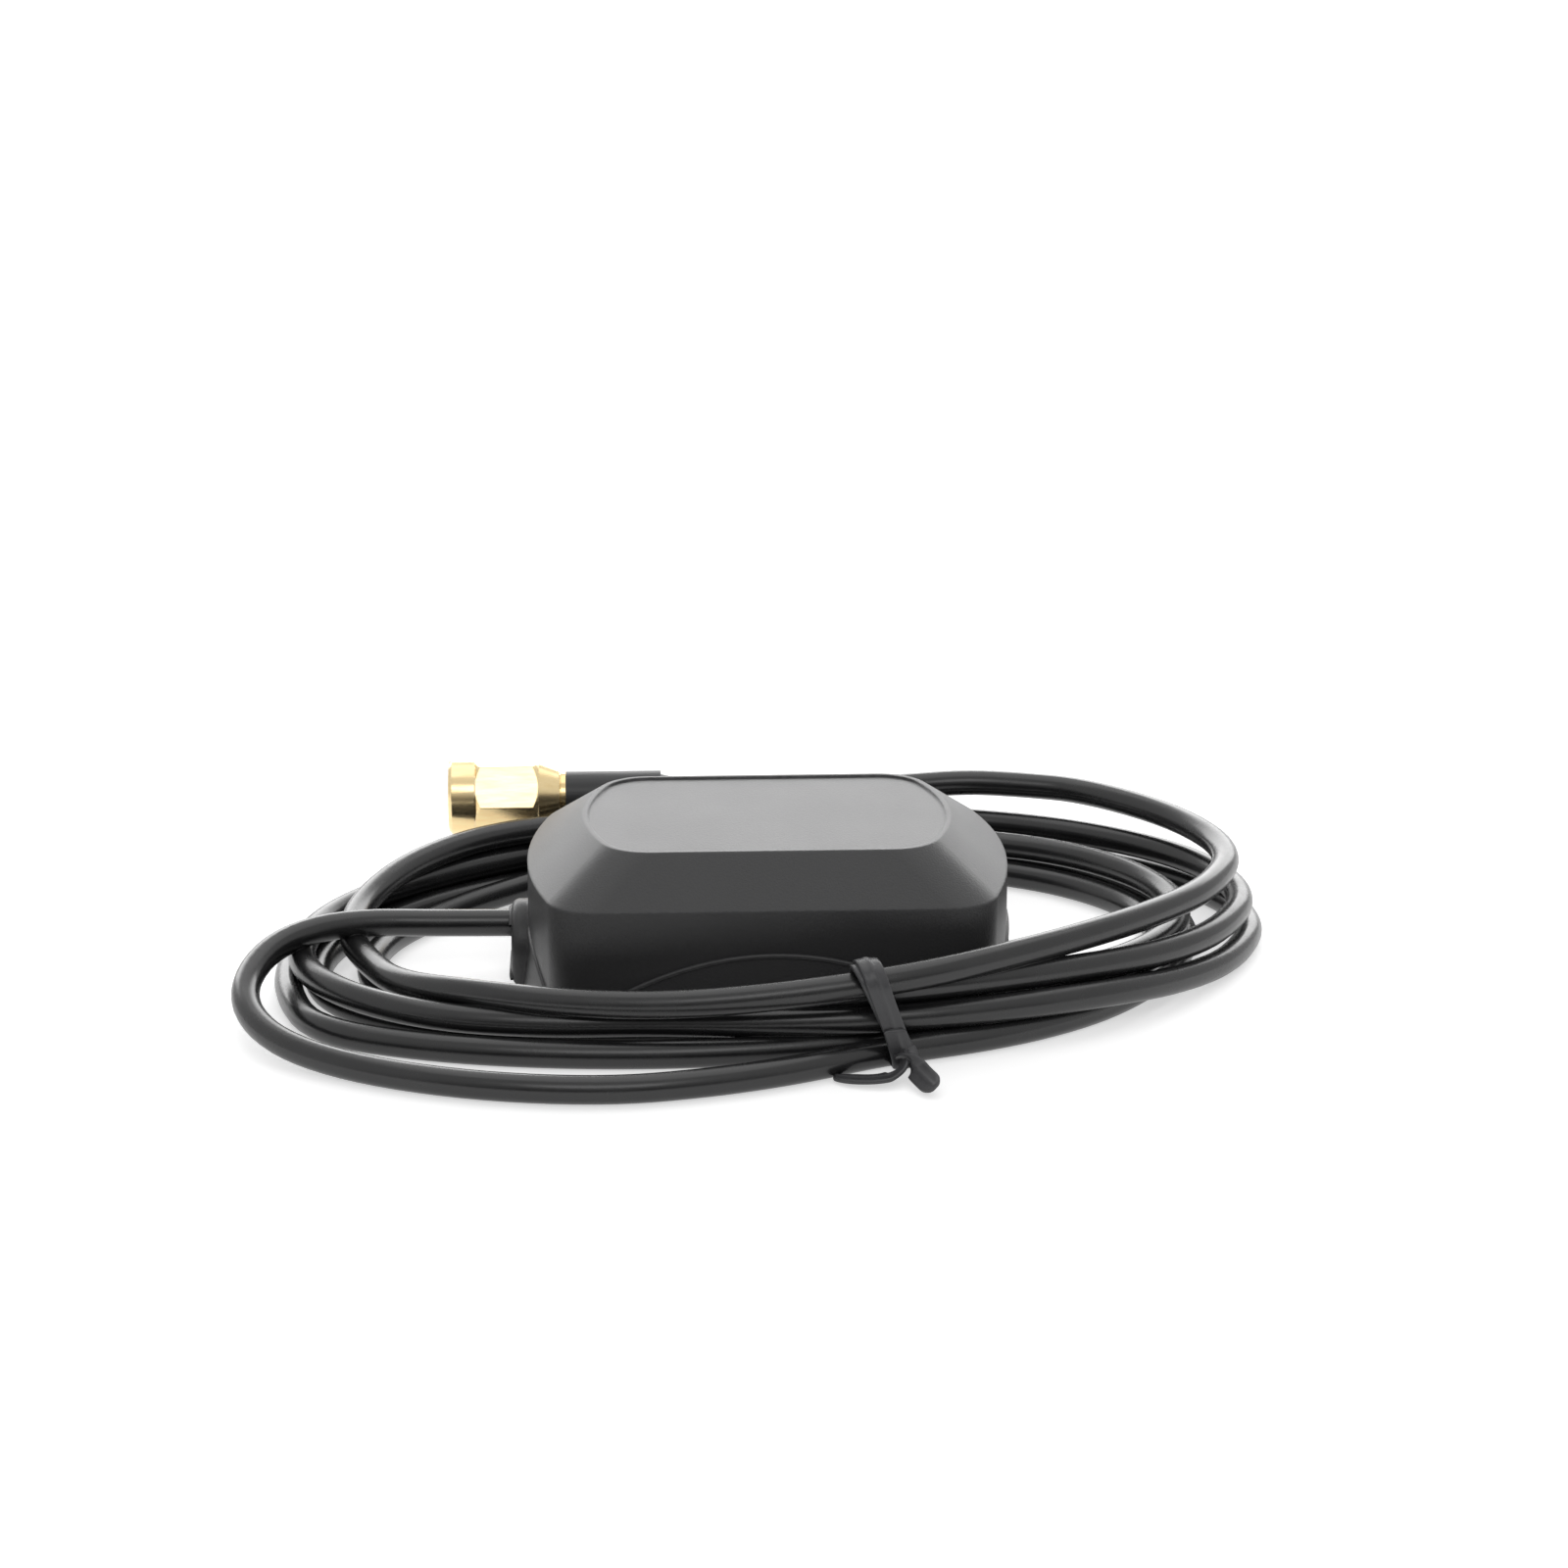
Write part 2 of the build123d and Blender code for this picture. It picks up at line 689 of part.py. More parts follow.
def cable_tube(points):
    """Tube of cable along straight runs joined by the largest arcs that the runs allow."""
    points = [Vector(*point) for point in points]
    runs = [after - before for before, after in zip(points, points[1:])]
    radii = []
    for before, after in zip(runs, runs[1:]):
        turn = radians(before.get_angle(after))
        radii.append(0.45 * min(before.length, after.length) / tan(turn / 2))
    with BuildPart() as tube:
        with BuildLine() as path:
            FilletPolyline(*points, radius=radii)
        route = path.wires()[0]
        with BuildSketch(Plane(origin=route @ 0, z_dir=route % 0)):
            Circle(cable_radius)
        sweep(path=route)
    expected = pi * cable_radius**2 * route.length
    print("radii", [round(radius, 1) for radius in radii])
    print("length", round(route.length, 1), "volume ratio", round(tube.part.volume / expected, 4))
    return tube


# First stretch: out of the boss, over the turns and down to the front of the coil
lead_points = [
    (jacket_end_x, 0, cable_height),
    (boss_face_x - 5.6, 0, cable_height),
    (0.8 - coil_half_length, -3.0, 6.2),
    (-5.6 - coil_half_length, -8.0, 5.0),
    (-7.9 - coil_half_length, -15.4, 3.2),
    (-5.0 - coil_half_length, -23.2, 1.9),
    (2.4 - coil_half_length, -29.4, 1.45),
    (-29.5, -34.6, 1.45),
    (-16.5, -36.6, 1.45),
    (-6.5, -34.9, 1.45),
    (2.0, -31.6, 1.45),
    (8.4, -29.9, 1.45),
]
cable_lead = cable_tube(lead_points)
save(cable_lead, "cable_lead")

# Last stretch: from the top of the coil over its back to the plug
plug_plane = Plane(origin=(plug_mouth_x, plug_y, plug_z), x_dir=(0, 1, 0), z_dir=(1, 0, 0))
nut_length = nut_front_length + nut_hex_length + nut_rear_length
rim_start = nut_length + rim_gap
tail_start = rim_start + rim_thickness
tail_end = tail_start + tail_length
sleeve_end = tail_start + sleeve_length
tail_points = [
    (plug_mouth_x + tail_end + step_gap, plug_y, plug_z),
    (plug_mouth_x + sleeve_end + straight_past_sleeve, plug_y, plug_z),
    (18.5, plug_y + 1.6, 8.8),
    (27.5, plug_y + 1.0, 8.9),
    (coil_half_length - 7.8, 32.0, 8.9),
    (coil_half_length - 0.6, 25.0, 8.8),
    (coil_half_length + 3.4, 16.0, 8.4),
    (coil_half_length + 3.8, 8.0, 7.8),
]
cable_tail = cable_tube(tail_points)
save(cable_tail, "cable_tail")

# Twist tie: a flat strip round the turns, with its twisted end on the surface in front
tie_plane = coil_plane(tie_angle)
with BuildPart() as twist_tie:
    with BuildSketch(tie_plane.offset(-tie_width / 2)):
        with BuildLine():
            Polyline(*coil_outline(tie_angle, tie_thickness), close=True)
        make_face()
    extrude(amount=tie_width)
    with BuildSketch(tie_plane.offset(-tie_width / 2)):
        with BuildLine():
            Polyline(*coil_outline(tie_angle, 0.0, tie_thickness), close=True)
        make_face()
    extrude(amount=tie_width, mode=Mode.SUBTRACT)
    tie_outer = coil_profile(tie_angle)[1]
    tail_root = tie_plane.from_local_coords((tie_outer + tie_thickness / 2, 0, 0))
    tail_turn = radians(tie_tail_turn)
    with BuildSketch(Plane(origin=tail_root, x_dir=(cos(tail_turn), sin(tail_turn), 0))):
        with Locations((tie_tail_length / 2, 0)):
            SlotOverall(tie_tail_length, tie_tail_width)
    extrude(amount=tie_tail_thickness)
save(twist_tie, "twist_tie")


# Plug

plug_axis = Axis((plug_mouth_x, plug_y, plug_z), (1, 0, 0))
profile_plane = Plane(origin=(plug_mouth_x, plug_y, plug_z), x_dir=(1, 0, 0), z_dir=(0, -1, 0))


def turned(points, arc=360.0):
    """Part turned about the plug's axis from a profile of (distance from the mouth, radius) points."""
    with BuildPart() as piece:
        with BuildSketch(profile_plane):
            with BuildLine():
                Polyline(*points, close=True)
            make_face()
        revolve(axis=plug_axis, revolution_arc=arc)
    return piece


def ring_profile(start, stop, inner, outer):
    """Profile of a plain ring."""
    return [(start, inner), (start, outer), (stop, outer), (stop, inner)]


# Coupling nut: round front, hexagonal middle, tapered rear, bored from the mouth
flat_radius = nut_flats / 2
hex_corner_radius = flat_radius / cos(pi / 6)
hex_end = nut_front_length + nut_hex_length
groove_start = ring_depth - ring_clearance
groove_stop = ring_depth + ring_width + ring_clearance
groove_radius = ring_radius + ring_clearance
journal_bore = journal_radius + running_clearance
hex_limits = turned([
    (nut_front_length, 0),
    (nut_front_length, flat_radius),
    (nut_front_length + hex_chamfer, hex_corner_radius),
    (hex_end - hex_chamfer, hex_corner_radius),
    (hex_end, flat_radius),
    (hex_end, 0),
])
nut_front = turned([
    (0, 0),
    (0, nut_front_radius - nut_mouth_chamfer),
    (nut_mouth_chamfer, nut_front_radius),
    (nut_front_length, nut_front_radius),
    (nut_front_length, 0),
])
nut_rear = turned([
    (hex_end, 0),
    (hex_end, nut_shoulder_radius),
    (nut_length, nut_rear_radius),
    (nut_length, 0),
])
nut_bore = turned([
    (0, 0),
    (0, nut_bore_radius + nut_mouth_chamfer),
    (nut_mouth_chamfer, nut_bore_radius),
    (nut_step, nut_bore_radius),
    (nut_step, journal_bore),
    (groove_start, journal_bore),
    (groove_start, groove_radius),
    (groove_stop, groove_radius),
    (groove_stop, journal_bore),
    (nut_length, journal_bore),
    (nut_length, 0),
])
with BuildPart() as coupling_nut:
    with BuildSketch(plug_plane.offset(nut_front_length)):
        RegularPolygon(flat_radius, 6, major_radius=False)
    extrude(amount=nut_hex_length)
    add(hex_limits.part, mode=Mode.INTERSECT)
    add(nut_front.part)
    add(nut_rear.part)
    add(nut_bore.part, mode=Mode.SUBTRACT)
save(coupling_nut, "coupling_nut")

# Plug body: contact shell, flange, journal for the nut, rear rim and crimp tail
flange_end = nut_step - step_gap
flange_start = flange_end - flange_thickness
insulator_end = face_depth + insulator_length
ring_seat_radius = ring_inner_radius - ring_clearance
plug_body = turned([
    (face_depth, insulator_radius),
    (face_depth, shell_radius),
    (flange_start, shell_radius),
    (flange_start, flange_radius),
    (flange_end, flange_radius),
    (flange_end, journal_radius),
    (groove_start, journal_radius),
    (groove_start, ring_seat_radius),
    (groove_stop, ring_seat_radius),
    (groove_stop, journal_radius),
    (rim_start, journal_radius),
    (rim_start, rim_radius),
    (tail_start, rim_radius),
    (tail_start, tail_radius),
    (tail_end, tail_radius),
    (tail_end, tail_bore_radius),
    (insulator_end, tail_bore_radius),
    (insulator_end, insulator_radius),
])
save(plug_body, "plug_body")

# Split ring that keeps the nut on the body
ring_stop = ring_depth + ring_width
retaining_ring = turned(ring_profile(ring_depth, ring_stop, ring_inner_radius, ring_radius), ring_arc)
save(retaining_ring, "retaining_ring")

# Soft seal in front of the flange
plug_gasket = turned(
    ring_profile(flange_start - plug_gasket_thickness, flange_start, shell_radius, flange_radius)
)
save(plug_gasket, "plug_gasket")

# Insulator and the pin that runs through it
plug_insulator = turned(ring_profile(face_depth, insulator_end, pin_body_radius, insulator_radius))
save(plug_insulator, "plug_insulator")

pin_end = insulator_end + pin_cup_length
pin_tip = face_depth - pin_reach
centre_pin = turned([
    (pin_tip, 0),
    (pin_tip, pin_radius / 2),
    (pin_tip + pin_radius / 2, pin_radius),
    (face_depth, pin_radius),
    (face_depth, pin_body_radius),
    (pin_end, pin_body_radius),
    (pin_end, 0),
])
save(centre_pin, "centre_pin")

# Stripped end of the cable inside the crimp tail
plug_cable_core = turned(ring_profile(pin_end, tail_end + step_gap, 0, dielectric_radius))
save(plug_cable_core, "plug_cable_core")

# Crimp ferrule over the tail and the end of the jacket
ferrule_start = tail_start + running_clearance
ferrule_end = ferrule_start + ferrule_length
crimp_ferrule = turned(ring_profile(ferrule_start, ferrule_end, ferrule_bore, ferrule_radius))
save(crimp_ferrule, "crimp_ferrule")

# Long heat-shrink sleeve, shrunk over the ferrule and on to the cable
sleeve_wide = ferrule_radius + sleeve_clearance
sleeve_narrow = cable_radius + sleeve_clearance
taper_start = ferrule_end + sleeve_clearance
taper_end = taper_start + sleeve_taper
heat_shrink_long = turned([
    (tail_start, sleeve_wide),
    (tail_start, sleeve_wide + sleeve_thickness),
    (taper_start, sleeve_wide + sleeve_thickness),
    (taper_end, sleeve_narrow + sleeve_thickness),
    (sleeve_end, sleeve_narrow + sleeve_thickness),
    (sleeve_end, sleeve_narrow),
    (taper_end, sleeve_narrow),
    (taper_start, sleeve_wide),
])
save(heat_shrink_long, "heat_shrink_long")

# Short second sleeve over the first one, next to the plug
outer_inside = sleeve_wide + sleeve_thickness
outer_end = tail_start + outer_sleeve_length
heat_shrink_short = turned(
    ring_profile(tail_start, outer_end, outer_inside, outer_inside + outer_sleeve_thickness)
)
save(heat_shrink_short, "heat_shrink_short")
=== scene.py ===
"""GPS puck antenna with a coiled coaxial lead and a gilt screw-on plug, on a white table."""

from math import cos, hypot, pi, radians, sin

import bmesh
import bpy
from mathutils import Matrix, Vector


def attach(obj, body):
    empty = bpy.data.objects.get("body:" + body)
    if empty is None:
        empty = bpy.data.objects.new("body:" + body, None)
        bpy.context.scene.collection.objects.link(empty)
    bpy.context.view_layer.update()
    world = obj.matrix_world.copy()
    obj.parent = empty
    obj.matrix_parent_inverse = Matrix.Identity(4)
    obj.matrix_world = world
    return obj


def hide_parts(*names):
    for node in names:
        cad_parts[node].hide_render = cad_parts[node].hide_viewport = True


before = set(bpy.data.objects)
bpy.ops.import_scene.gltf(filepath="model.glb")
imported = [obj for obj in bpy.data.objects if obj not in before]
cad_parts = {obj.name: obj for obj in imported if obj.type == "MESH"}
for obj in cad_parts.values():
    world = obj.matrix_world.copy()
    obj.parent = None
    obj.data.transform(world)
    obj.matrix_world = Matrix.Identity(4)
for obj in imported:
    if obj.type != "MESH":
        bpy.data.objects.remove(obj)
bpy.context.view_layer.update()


# Viewpoint
# The photograph was taken from just above the table's height with a long lens, almost square to
# the puck's long side.

camera_place = (-0.01530, -0.38251, 0.13565)
camera_direction = (0.042588, 0.956272, -0.28936)
camera_lens = 91.2
camera_sensor = 36.0

camera_data = bpy.data.cameras.new("photograph")
camera_data.sensor_width = camera_sensor
camera_data.lens = camera_lens
camera_data.clip_start = 0.01
camera_data.clip_end = 20.0
camera = bpy.data.objects.new("photograph", camera_data)
camera.location = camera_place
camera.rotation_euler = Vector(camera_direction).to_track_quat("-Z", "Y").to_euler()
bpy.context.scene.collection.objects.link(camera)
bpy.context.scene.camera = camera


# Top cover
# One injection moulding in black ABS: the skirt with its arched foot, the sloped roof and the
# cable boss. The tool was spark eroded, so it has a fine even grain and soft, polished edges.

cover_colour = (0.033, 0.033, 0.034)
cover_mottle_colour = (0.036, 0.036, 0.037)
cover_edge_colour = (0.075, 0.075, 0.078)
cover_roughness = (0.415, 0.435)
cover_grain_scale = 5200.0
cover_grain_depth = 0.30
cover_mottle_scale = 160.0
cover_edge_radius = 0.00038
grain_bump_height = 0.0001
mix_factor, mix_first, mix_second, mix_result = 0, 6, 7, 2  # a colour Mix node's sockets


def set_inputs(node, inputs):
    """Give each of a node's inputs its value, or link it to the output that stands there."""
    for name, value in inputs.items():
        if isinstance(value, bpy.types.NodeSocket):
            node.id_data.links.new(value, node.inputs[name])
        else:
            node.inputs[name].default_value = value


def add_node(tree, kind, inputs=None, **settings):
    """A new node with its settings and its inputs."""
    made = tree.nodes.new(kind)
    for name, value in settings.items():
        setattr(made, name, value)
    set_inputs(made, inputs or {})
    return made


def new_group(name, inputs, outputs):
    """An empty shader group with named sockets, and its input and output nodes."""
    group = bpy.data.node_groups.new(name, "ShaderNodeTree")
    for socket, kind, value in inputs:
        made = group.interface.new_socket(name=socket, in_out="INPUT", socket_type=kind)
        made.default_value = value
    for socket, kind in outputs:
        group.interface.new_socket(name=socket, in_out="OUTPUT", socket_type=kind)
    return group, add_node(group, "NodeGroupInput"), add_node(group, "NodeGroupOutput")


def make_grain_group():
    """Fine grain and a broad cloudy mottle, in the piece's own coordinates."""
    group, given, result = new_group(
        "moulded grain",
        [
            ("Grain Scale", "NodeSocketFloat", 5000.0),
            ("Mottle Scale", "NodeSocketFloat", 180.0),
            ("Stretch", "NodeSocketVector", (1.0, 1.0, 1.0)),
        ],
        [("Height", "NodeSocketFloat"), ("Mottle", "NodeSocketFloat")],
    )
    place = add_node(group, "ShaderNodeTexCoord")
    stretched = add_node(group, "ShaderNodeVectorMath", {
        0: place.outputs["Object"], 1: given.outputs["Stretch"],
    }, operation="MULTIPLY")
    grain = {"Vector": stretched.outputs["Vector"], "Scale": given.outputs["Grain Scale"]}
    mottle = {"Vector": stretched.outputs["Vector"], "Scale": given.outputs["Mottle Scale"]}
    fine = add_node(group, "ShaderNodeTexNoise", {**grain, "Detail": 3.0, "Roughness": 0.6})
    cells = add_node(group, "ShaderNodeTexVoronoi", grain, feature="SMOOTH_F1")
    cloud = add_node(group, "ShaderNodeTexNoise", {**mottle, "Detail": 5.0, "Roughness": 0.55})
    cell_height = add_node(group, "ShaderNodeMath", {
        0: cells.outputs["Distance"], 1: 0.5,
    }, operation="MULTIPLY")
    fine_height = add_node(group, "ShaderNodeMath", {
        0: fine.outputs["Fac"], 1: 0.6,
    }, operation="MULTIPLY")
    height = add_node(group, "ShaderNodeMath", {
        0: cell_height.outputs["Value"], 1: fine_height.outputs["Value"],
    }, operation="ADD", use_clamp=True)
    clouded = add_node(group, "ShaderNodeMapRange", {
        "Value": cloud.outputs["Fac"], "From Min": 0.3, "From Max": 0.7,
    })
    set_inputs(result, {"Height": height.outputs["Value"], "Mottle": clouded.outputs["Result"]})
    return group


def make_edge_group():
    """Rounded-off normal at the edges, and a broken mask of where hands and tools rub them."""
    group, given, result = new_group(
        "rubbed edges",
        [("Radius", "NodeSocketFloat", 0.0003), ("Breakup Scale", "NodeSocketFloat", 1400.0)],
        [("Edge", "NodeSocketFloat"), ("Normal", "NodeSocketVector")],
    )
    rounded = add_node(group, "ShaderNodeBevel", {"Radius": given.outputs["Radius"]}, samples=6)
    surface = add_node(group, "ShaderNodeNewGeometry")
    along = add_node(group, "ShaderNodeVectorMath", {
        0: rounded.outputs["Normal"], 1: surface.outputs["Normal"],
    }, operation="DOT_PRODUCT")
    turned_away = add_node(group, "ShaderNodeMapRange", {
        "Value": along.outputs["Value"], "From Min": 0.995, "From Max": 0.80, "To Max": 1.0,
    })
    place = add_node(group, "ShaderNodeTexCoord")
    breakup = add_node(group, "ShaderNodeTexNoise", {
        "Vector": place.outputs["Object"], "Scale": given.outputs["Breakup Scale"], "Detail": 4.0,
    })
    worn = add_node(group, "ShaderNodeMapRange", {
        "Value": breakup.outputs["Fac"], "From Min": 0.38, "From Max": 0.62,
    })
    mask = add_node(group, "ShaderNodeMath", {
        0: turned_away.outputs["Result"], 1: worn.outputs["Result"],
    }, operation="MULTIPLY", use_clamp=True)
    set_inputs(result, {"Edge": mask.outputs["Value"], "Normal": rounded.outputs["Normal"]})
    return group


moulded_grain = make_grain_group()
rubbed_edges = make_edge_group()


def grained_finish(
    name, colour, mottle_colour, edge_colour, roughness, grain, shader, stretch=(1.0, 1.0, 1.0),
):
    """A material with grain, mottle and rubbed edges. Grain: scale, depth, mottle scale, radius."""
    material = bpy.data.materials.new(name)
    material.use_nodes = True
    tree = material.node_tree
    grain_scale, grain_depth, mottle_scale, edge_radius = grain
    texture = add_node(tree, "ShaderNodeGroup", {
        "Grain Scale": grain_scale, "Mottle Scale": mottle_scale, "Stretch": stretch,
    }, node_tree=moulded_grain)
    edges = add_node(tree, "ShaderNodeGroup", {"Radius": edge_radius}, node_tree=rubbed_edges)
    shade = add_node(tree, "ShaderNodeMix", {
        mix_factor: texture.outputs["Mottle"],
        mix_first: (*colour, 1.0), mix_second: (*mottle_colour, 1.0),
    }, data_type="RGBA")
    worn = add_node(tree, "ShaderNodeMix", {
        mix_factor: edges.outputs["Edge"],
        mix_first: shade.outputs[mix_result], mix_second: (*edge_colour, 1.0),
    }, data_type="RGBA")
    gloss = add_node(tree, "ShaderNodeMapRange", {
        "Value": texture.outputs["Mottle"], "To Min": roughness[0], "To Max": roughness[1],
    })
    bump = add_node(tree, "ShaderNodeBump", {
        "Strength": grain_depth, "Distance": grain_bump_height,
        "Height": texture.outputs["Height"], "Normal": edges.outputs["Normal"],
    })
    set_inputs(tree.nodes["Principled BSDF"], {
        **shader,
        "Base Color": worn.outputs[mix_result],
        "Roughness": gloss.outputs["Result"],
        "Normal": bump.outputs["Normal"],
    })
    return material


def dress(node, material):
    """Give a CAD node its material."""
    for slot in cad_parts[node].material_slots:
        slot.material = material


cover_plastic = grained_finish(
    "cover_plastic", cover_colour, cover_mottle_colour, cover_edge_colour, cover_roughness,
    (cover_grain_scale, cover_grain_depth, cover_mottle_scale, cover_edge_radius),
    {"Specular IOR Level": 0.5, "IOR": 1.5},
)
dress("top_cover", cover_plastic)

# Where the skirt meets the foot, the tool's parting leaves a fine raised bead. It follows the
# edges between the upright wall and the foot's sloping faces.
foot_bead_radius = 0.00026
foot_bead_top = 0.0095
foot_weld = 0.000002
foot_wall_slope = 0.02
foot_slopes = (0.05, 0.35)
foot_shortest_edge = 0.00001
foot_shortest_line = 0.004
foot_shape = bmesh.new()
foot_shape.from_mesh(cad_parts["top_cover"].data)
foot_shape.transform(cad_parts["top_cover"].matrix_world)
bmesh.ops.remove_doubles(foot_shape, verts=foot_shape.verts, dist=foot_weld)
foot_left = {}
for edge in foot_shape.edges:
    if len(edge.link_faces) != 2 or max(v.co.z for v in edge.verts) > foot_bead_top:
        continue
    wall, slope = sorted(abs(face.normal.z) for face in edge.link_faces)
    if edge.calc_length() > foot_shortest_edge and wall < foot_wall_slope:
        if foot_slopes[0] < slope < foot_slopes[1]:
            foot_left[edge] = True
foot_bead = bpy.data.curves.new("foot_bead", "CURVE")
foot_bead.dimensions = "3D"
foot_bead.bevel_depth = foot_bead_radius
foot_bead.bevel_resolution = 2
while foot_left:
    first = next(iter(foot_left))
    del foot_left[first]
    chain = [first.verts[0], first.verts[1]]
    for end in (-1, 0):
        while True:
            step = next((edge for edge in chain[end].link_edges if edge in foot_left), None)
            if step is None:
                break
            del foot_left[step]
            other = step.other_vert(chain[end])
            chain.insert(len(chain) if end else 0, other)
    if sum((b.co - a.co).length for a, b in zip(chain, chain[1:])) < foot_shortest_line:
        continue
    line = foot_bead.splines.new("POLY")
    line.points.add(len(chain) - 1)
    for point, vertex in zip(line.points, chain):
        point.co = (*vertex.co, 1.0)
foot_shape.free()
foot_bead.materials.append(cover_plastic)
foot_line = bpy.data.objects.new("foot_bead", foot_bead)
bpy.context.scene.collection.objects.link(foot_line)
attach(foot_line, "antenna")


# Base plate, its gasket and the bottom pad
# The plate is the same ABS with a finer grain, pressed against a soft black gasket. A thin
# self-adhesive rubber pad covers it, so that the puck grips what it stands on.

dress("base_plate", grained_finish(
    "base_plastic", (0.026, 0.026, 0.027), (0.032, 0.032, 0.033), (0.07, 0.07, 0.07),
    (0.45, 0.55), (6500.0, 0.12, 200.0, 0.0002), {"Specular IOR Level": 0.5},
))
seal_rubber = grained_finish(
    "seal_rubber", (0.012, 0.012, 0.012), (0.018, 0.018, 0.017), (0.03, 0.03, 0.03),
    (0.55, 0.70), (3000.0, 0.10, 300.0, 0.00015), {"Specular IOR Level": 0.4},
)
dress("base_gasket", seal_rubber)
dress("cable_seal", seal_rubber)
dress("bottom_pad", grained_finish(
    "pad_rubber", (0.020, 0.020, 0.020), (0.030, 0.029, 0.028), (0.05, 0.05, 0.05),
    (0.72, 0.88), (2600.0, 0.45, 120.0, 0.00012), {"Specular IOR Level": 0.35},
))


# Base screws
# Four small slotted steel screws with bright zinc plating. They hold the base plate to the cover,
# and the pad covers their heads.

plated_steel = grained_finish(
    "plated_steel", (0.62, 0.63, 0.64), (0.50, 0.51, 0.53), (0.75, 0.75, 0.75),
    (0.22, 0.38), (4200.0, 0.06, 700.0, 0.00008), {"Metallic": 1.0},
)
dress("base_screws", plated_steel)


# Magnets
# Two flat rare-earth blocks with a nickel coat, dropped into the plate's pockets. They hold the
# puck down on sheet steel.

magnet_nickel = grained_finish(
    "magnet_nickel", (0.66, 0.64, 0.60), (0.56, 0.54, 0.50), (0.74, 0.72, 0.69),
    (0.16, 0.30), (2400.0, 0.04, 350.0, 0.00012), {"Metallic": 1.0},
)
dress("magnet_left", magnet_nickel)
dress("magnet_right", magnet_nickel)


# Circuit board, shield can and what they hold
# A green glass-fibre laminate with a folded tin can over the amplifier, its filter and the small
# ceramic components, and the folded clip that grounds the cable's braid.

dress("circuit_board", grained_finish(
    "board_laminate", (0.010, 0.090, 0.035), (0.014, 0.120, 0.045), (0.30, 0.32, 0.16),
    (0.28, 0.40), (1500.0, 0.15, 420.0, 0.00008), {"Coat Weight": 0.3, "Coat Roughness": 0.2},
))
tin_sheet = grained_finish(
    "tin_sheet", (0.58, 0.58, 0.57), (0.48, 0.48, 0.47), (0.70, 0.70, 0.69),
    (0.24, 0.42), (1800.0, 0.06, 260.0, 0.0001), {"Metallic": 1.0}, stretch=(1.0, 0.15, 1.0),
)
dress("shield_can", tin_sheet)
dress("ground_clip", tin_sheet)
dress("amplifier_chip", grained_finish(
    "black_chip", (0.016, 0.016, 0.018), (0.024, 0.024, 0.026), (0.05, 0.05, 0.05),
    (0.45, 0.60), (9000.0, 0.20, 900.0, 0.00005), {"Specular IOR Level": 0.5},
))
dress("filter_chip", grained_finish(
    "filter_lid", (0.72, 0.58, 0.28), (0.62, 0.50, 0.24), (0.80, 0.68, 0.36),
    (0.20, 0.34), (6000.0, 0.05, 800.0, 0.00005), {"Metallic": 1.0},
))
dress("chip_components", grained_finish(
    "chip_ceramic", (0.30, 0.20, 0.13), (0.38, 0.27, 0.18), (0.62, 0.60, 0.57),
    (0.35, 0.50), (9000.0, 0.10, 1800.0, 0.00008), {"Specular IOR Level": 0.5},
))


# Patch antenna
# A pressed and fired ceramic block with a silver electrode printed on it, taped to the board. A
# tinned feed pin goes through it, and a grey foam pad keeps it from rattling under the roof.

dress("ceramic_patch", grained_finish(
    "ceramic", (0.55, 0.47, 0.36), (0.62, 0.54, 0.43), (0.70, 0.62, 0.50),
    (0.40, 0.55), (5200.0, 0.18, 240.0, 0.00015), {"Specular IOR Level": 0.5},
))
dress("patch_electrode", grained_finish(
    "fired_silver", (0.74, 0.73, 0.70), (0.62, 0.60, 0.56), (0.80, 0.79, 0.77),
    (0.35, 0.52), (7000.0, 0.15, 300.0, 0.00004), {"Metallic": 1.0},
))
dress("adhesive_pad", grained_finish(
    "white_tape", (0.72, 0.71, 0.68), (0.80, 0.79, 0.76), (0.60, 0.58, 0.54),
    (0.55, 0.70), (2600.0, 0.10, 300.0, 0.00005), {"Specular IOR Level": 0.4},
))
dress("foam_pad", grained_finish(
    "foam", (0.045, 0.045, 0.048), (0.080, 0.080, 0.084), (0.10, 0.10, 0.10),
    (0.85, 0.95), (1900.0, 0.90, 900.0, 0.0002), {"Specular IOR Level": 0.2},
))
dress("feed_pin", grained_finish(
    "tinned_pin", (0.66, 0.66, 0.65), (0.56, 0.56, 0.55), (0.74, 0.74, 0.73),
    (0.18, 0.32), (6000.0, 0.05, 900.0, 0.00005), {"Metallic": 1.0},
))
dress("solder_joint", grained_finish(
    "solder", (0.60, 0.61, 0.62), (0.48, 0.49, 0.50), (0.66, 0.67, 0.68),
    (0.14, 0.40), (2200.0, 0.12, 900.0, 0.0001), {"Metallic": 1.0},
))


# Coaxial cable
# One length of thin black PVC-jacketed coaxial cable. It leaves the boss, crosses its own turns,
# goes nearly six times round the puck in a loose coil, and runs back over the turns to the plug.

